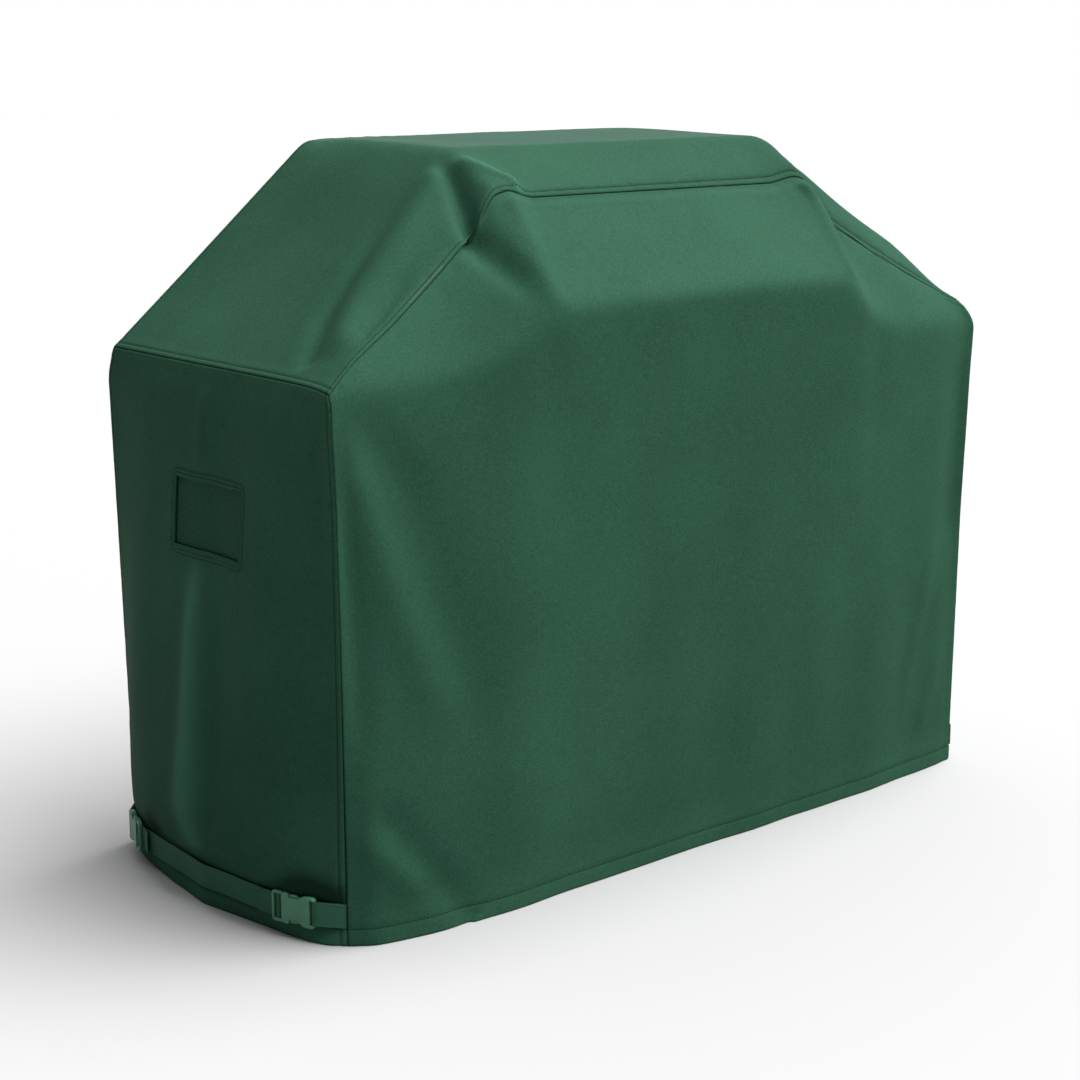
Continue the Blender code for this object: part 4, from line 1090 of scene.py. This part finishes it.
def make_materials():
    """The finishes by name; each one's linear colours run from dark to light."""
    return {
        "fabric": fabric_material("oxford_fabric", (0.0170, 0.0585, 0.0355), (0.0215, 0.0700, 0.0430),
                                  (0.0260, 0.0820, 0.0510)),
        "thread": thread_material("sewing_thread", (0.006, 0.022, 0.013), (0.012, 0.038, 0.024)),
        "webbing": webbing_material("strap_webbing", (0.023, 0.078, 0.047), (0.040, 0.125, 0.078)),
        "plastic": plastic_material("buckle_plastic", (0.058, 0.172, 0.108), (0.078, 0.215, 0.138)),
        "tape": tape_material("seam_tape", (0.016, 0.056, 0.034), (0.024, 0.078, 0.048)),
        "net": thread_material("screen_mesh", (0.022, 0.075, 0.046), (0.034, 0.105, 0.066)),
    }


def dress_cad_nodes(materials):
    """The buckles' CAD pieces get their plastic, and the inside seam tapes their tape."""
    for name, node in frame["nodes"].items():
        if name.endswith(("_socket", "_plug", "_latch_a", "_latch_b", "_tape")):
            node.data.materials.clear()
            node.data.materials.append(materials["tape" if name.endswith("_tape") else "plastic"])


# ---------------- camera and stage
CAMERA_AT = (-2.8432, -3.1985, 1.4608)
CAMERA_DOWN, CAMERA_TURN = math.radians(12.6583), math.radians(-40.9233)
SENSOR, LENS = 36, 80.09
SUN_FROM, SUN_ENERGY, SUN_SPREAD = Vector((0.42, -0.27, 0.86)), 6.5, math.radians(56)
GLOW_FROM = (0.80, 0.25, 0.54)
GLOW_STOPS = [(0.38, (0.020, 0.040, 0.028)), (0.69, WHITE)]
FLOOR_HALF, FLOOR_Z, FLOOR_GREY = 30, -0.0005, 0.38
BACKDROP_R = 28


def place_in_scene(name, data):
    obj = bpy.data.objects.new(name, data)
    bpy.context.scene.collection.objects.link(obj)
    return obj


def add_camera():
    camera = place_in_scene("camera", bpy.data.cameras.new("camera"))
    camera.location = CAMERA_AT
    camera.rotation_euler = (math.radians(90) - CAMERA_DOWN, 0, CAMERA_TURN)
    camera.data.sensor_width = SENSOR
    camera.data.lens = LENS
    bpy.context.scene.camera = camera


def add_light():
    """A wide soft key light, and a studio that is brighter on the right than on the left."""
    sun = bpy.data.lights.new("key", "SUN")
    sun.energy = SUN_ENERGY
    sun.angle = SUN_SPREAD
    place_in_scene("key", sun).rotation_euler = SUN_FROM.to_track_quat("Z", "Y").to_euler()
    world = bpy.data.worlds.new("studio")
    world.use_nodes = True
    bpy.context.scene.world = world
    sky = Nodes(world.node_tree)
    around = sky.add("TexCoord").outputs["Generated"]
    aim = sky.add("VectorMath", [(0, around), (1, GLOW_FROM)], operation="DOT_PRODUCT").outputs["Value"]
    glow = sky.ramp(sky.math("MULTIPLY_ADD", aim, 0.5, 0.5), GLOW_STOPS)
    sky.put(world.node_tree.nodes["Background"].inputs[0], glow)
    bpy.context.scene.view_settings.view_transform = "Standard"


def add_floor():
    half = FLOOR_HALF
    mesh = bpy.data.meshes.new("floor")
    corners = [(-half, -half, 0), (half, -half, 0), (half, half, 0), (-half, half, 0)]
    mesh.from_pydata(corners, [], [range(4)])
    mat, _, shader = new_material("pale_floor", 0.8)
    shader["Base Color"].default_value = (FLOOR_GREY, FLOOR_GREY, FLOOR_GREY, 1)
    mesh.materials.append(mat)
    floor = place_in_scene("floor", mesh)
    floor.location.z = FLOOR_Z
    return floor


def add_backdrop():
    """A white sphere that only the camera sees."""
    bpy.ops.mesh.primitive_uv_sphere_add(segments=48, ring_count=24, radius=BACKDROP_R)
    backdrop = bpy.context.object
    backdrop.name = "backdrop"
    for way in ("diffuse", "glossy", "transmission", "shadow", "volume_scatter"):
        setattr(backdrop, "visible_" + way, False)
    mat, _, shader = new_material("pale_backdrop", 1.0, specular=0)
    shader["Base Color"].default_value = (0, 0, 0, 1)
    shader["Emission Color"].default_value = (1, 1, 1, 1)
    shader["Emission Strength"].default_value = 1
    backdrop.data.materials.append(mat)
    return backdrop


# ---------------- build
materials = make_materials()
grids = make_grids()
panels = make_panels(grids, materials["fabric"])
sewing = make_sewing(grids, materials["thread"])
for end, side in ((-1, "left"), (1, "right")):
    add_vent(side, grids[side], materials)
    add_strap(side, end, grids[side], materials["webbing"])
    for place in ("front", "rear"):
        add_tab(side, end, place, grids[side], materials["webbing"])
dress_cad_nodes(materials)
add_camera()
add_light()
add_floor()
add_backdrop()
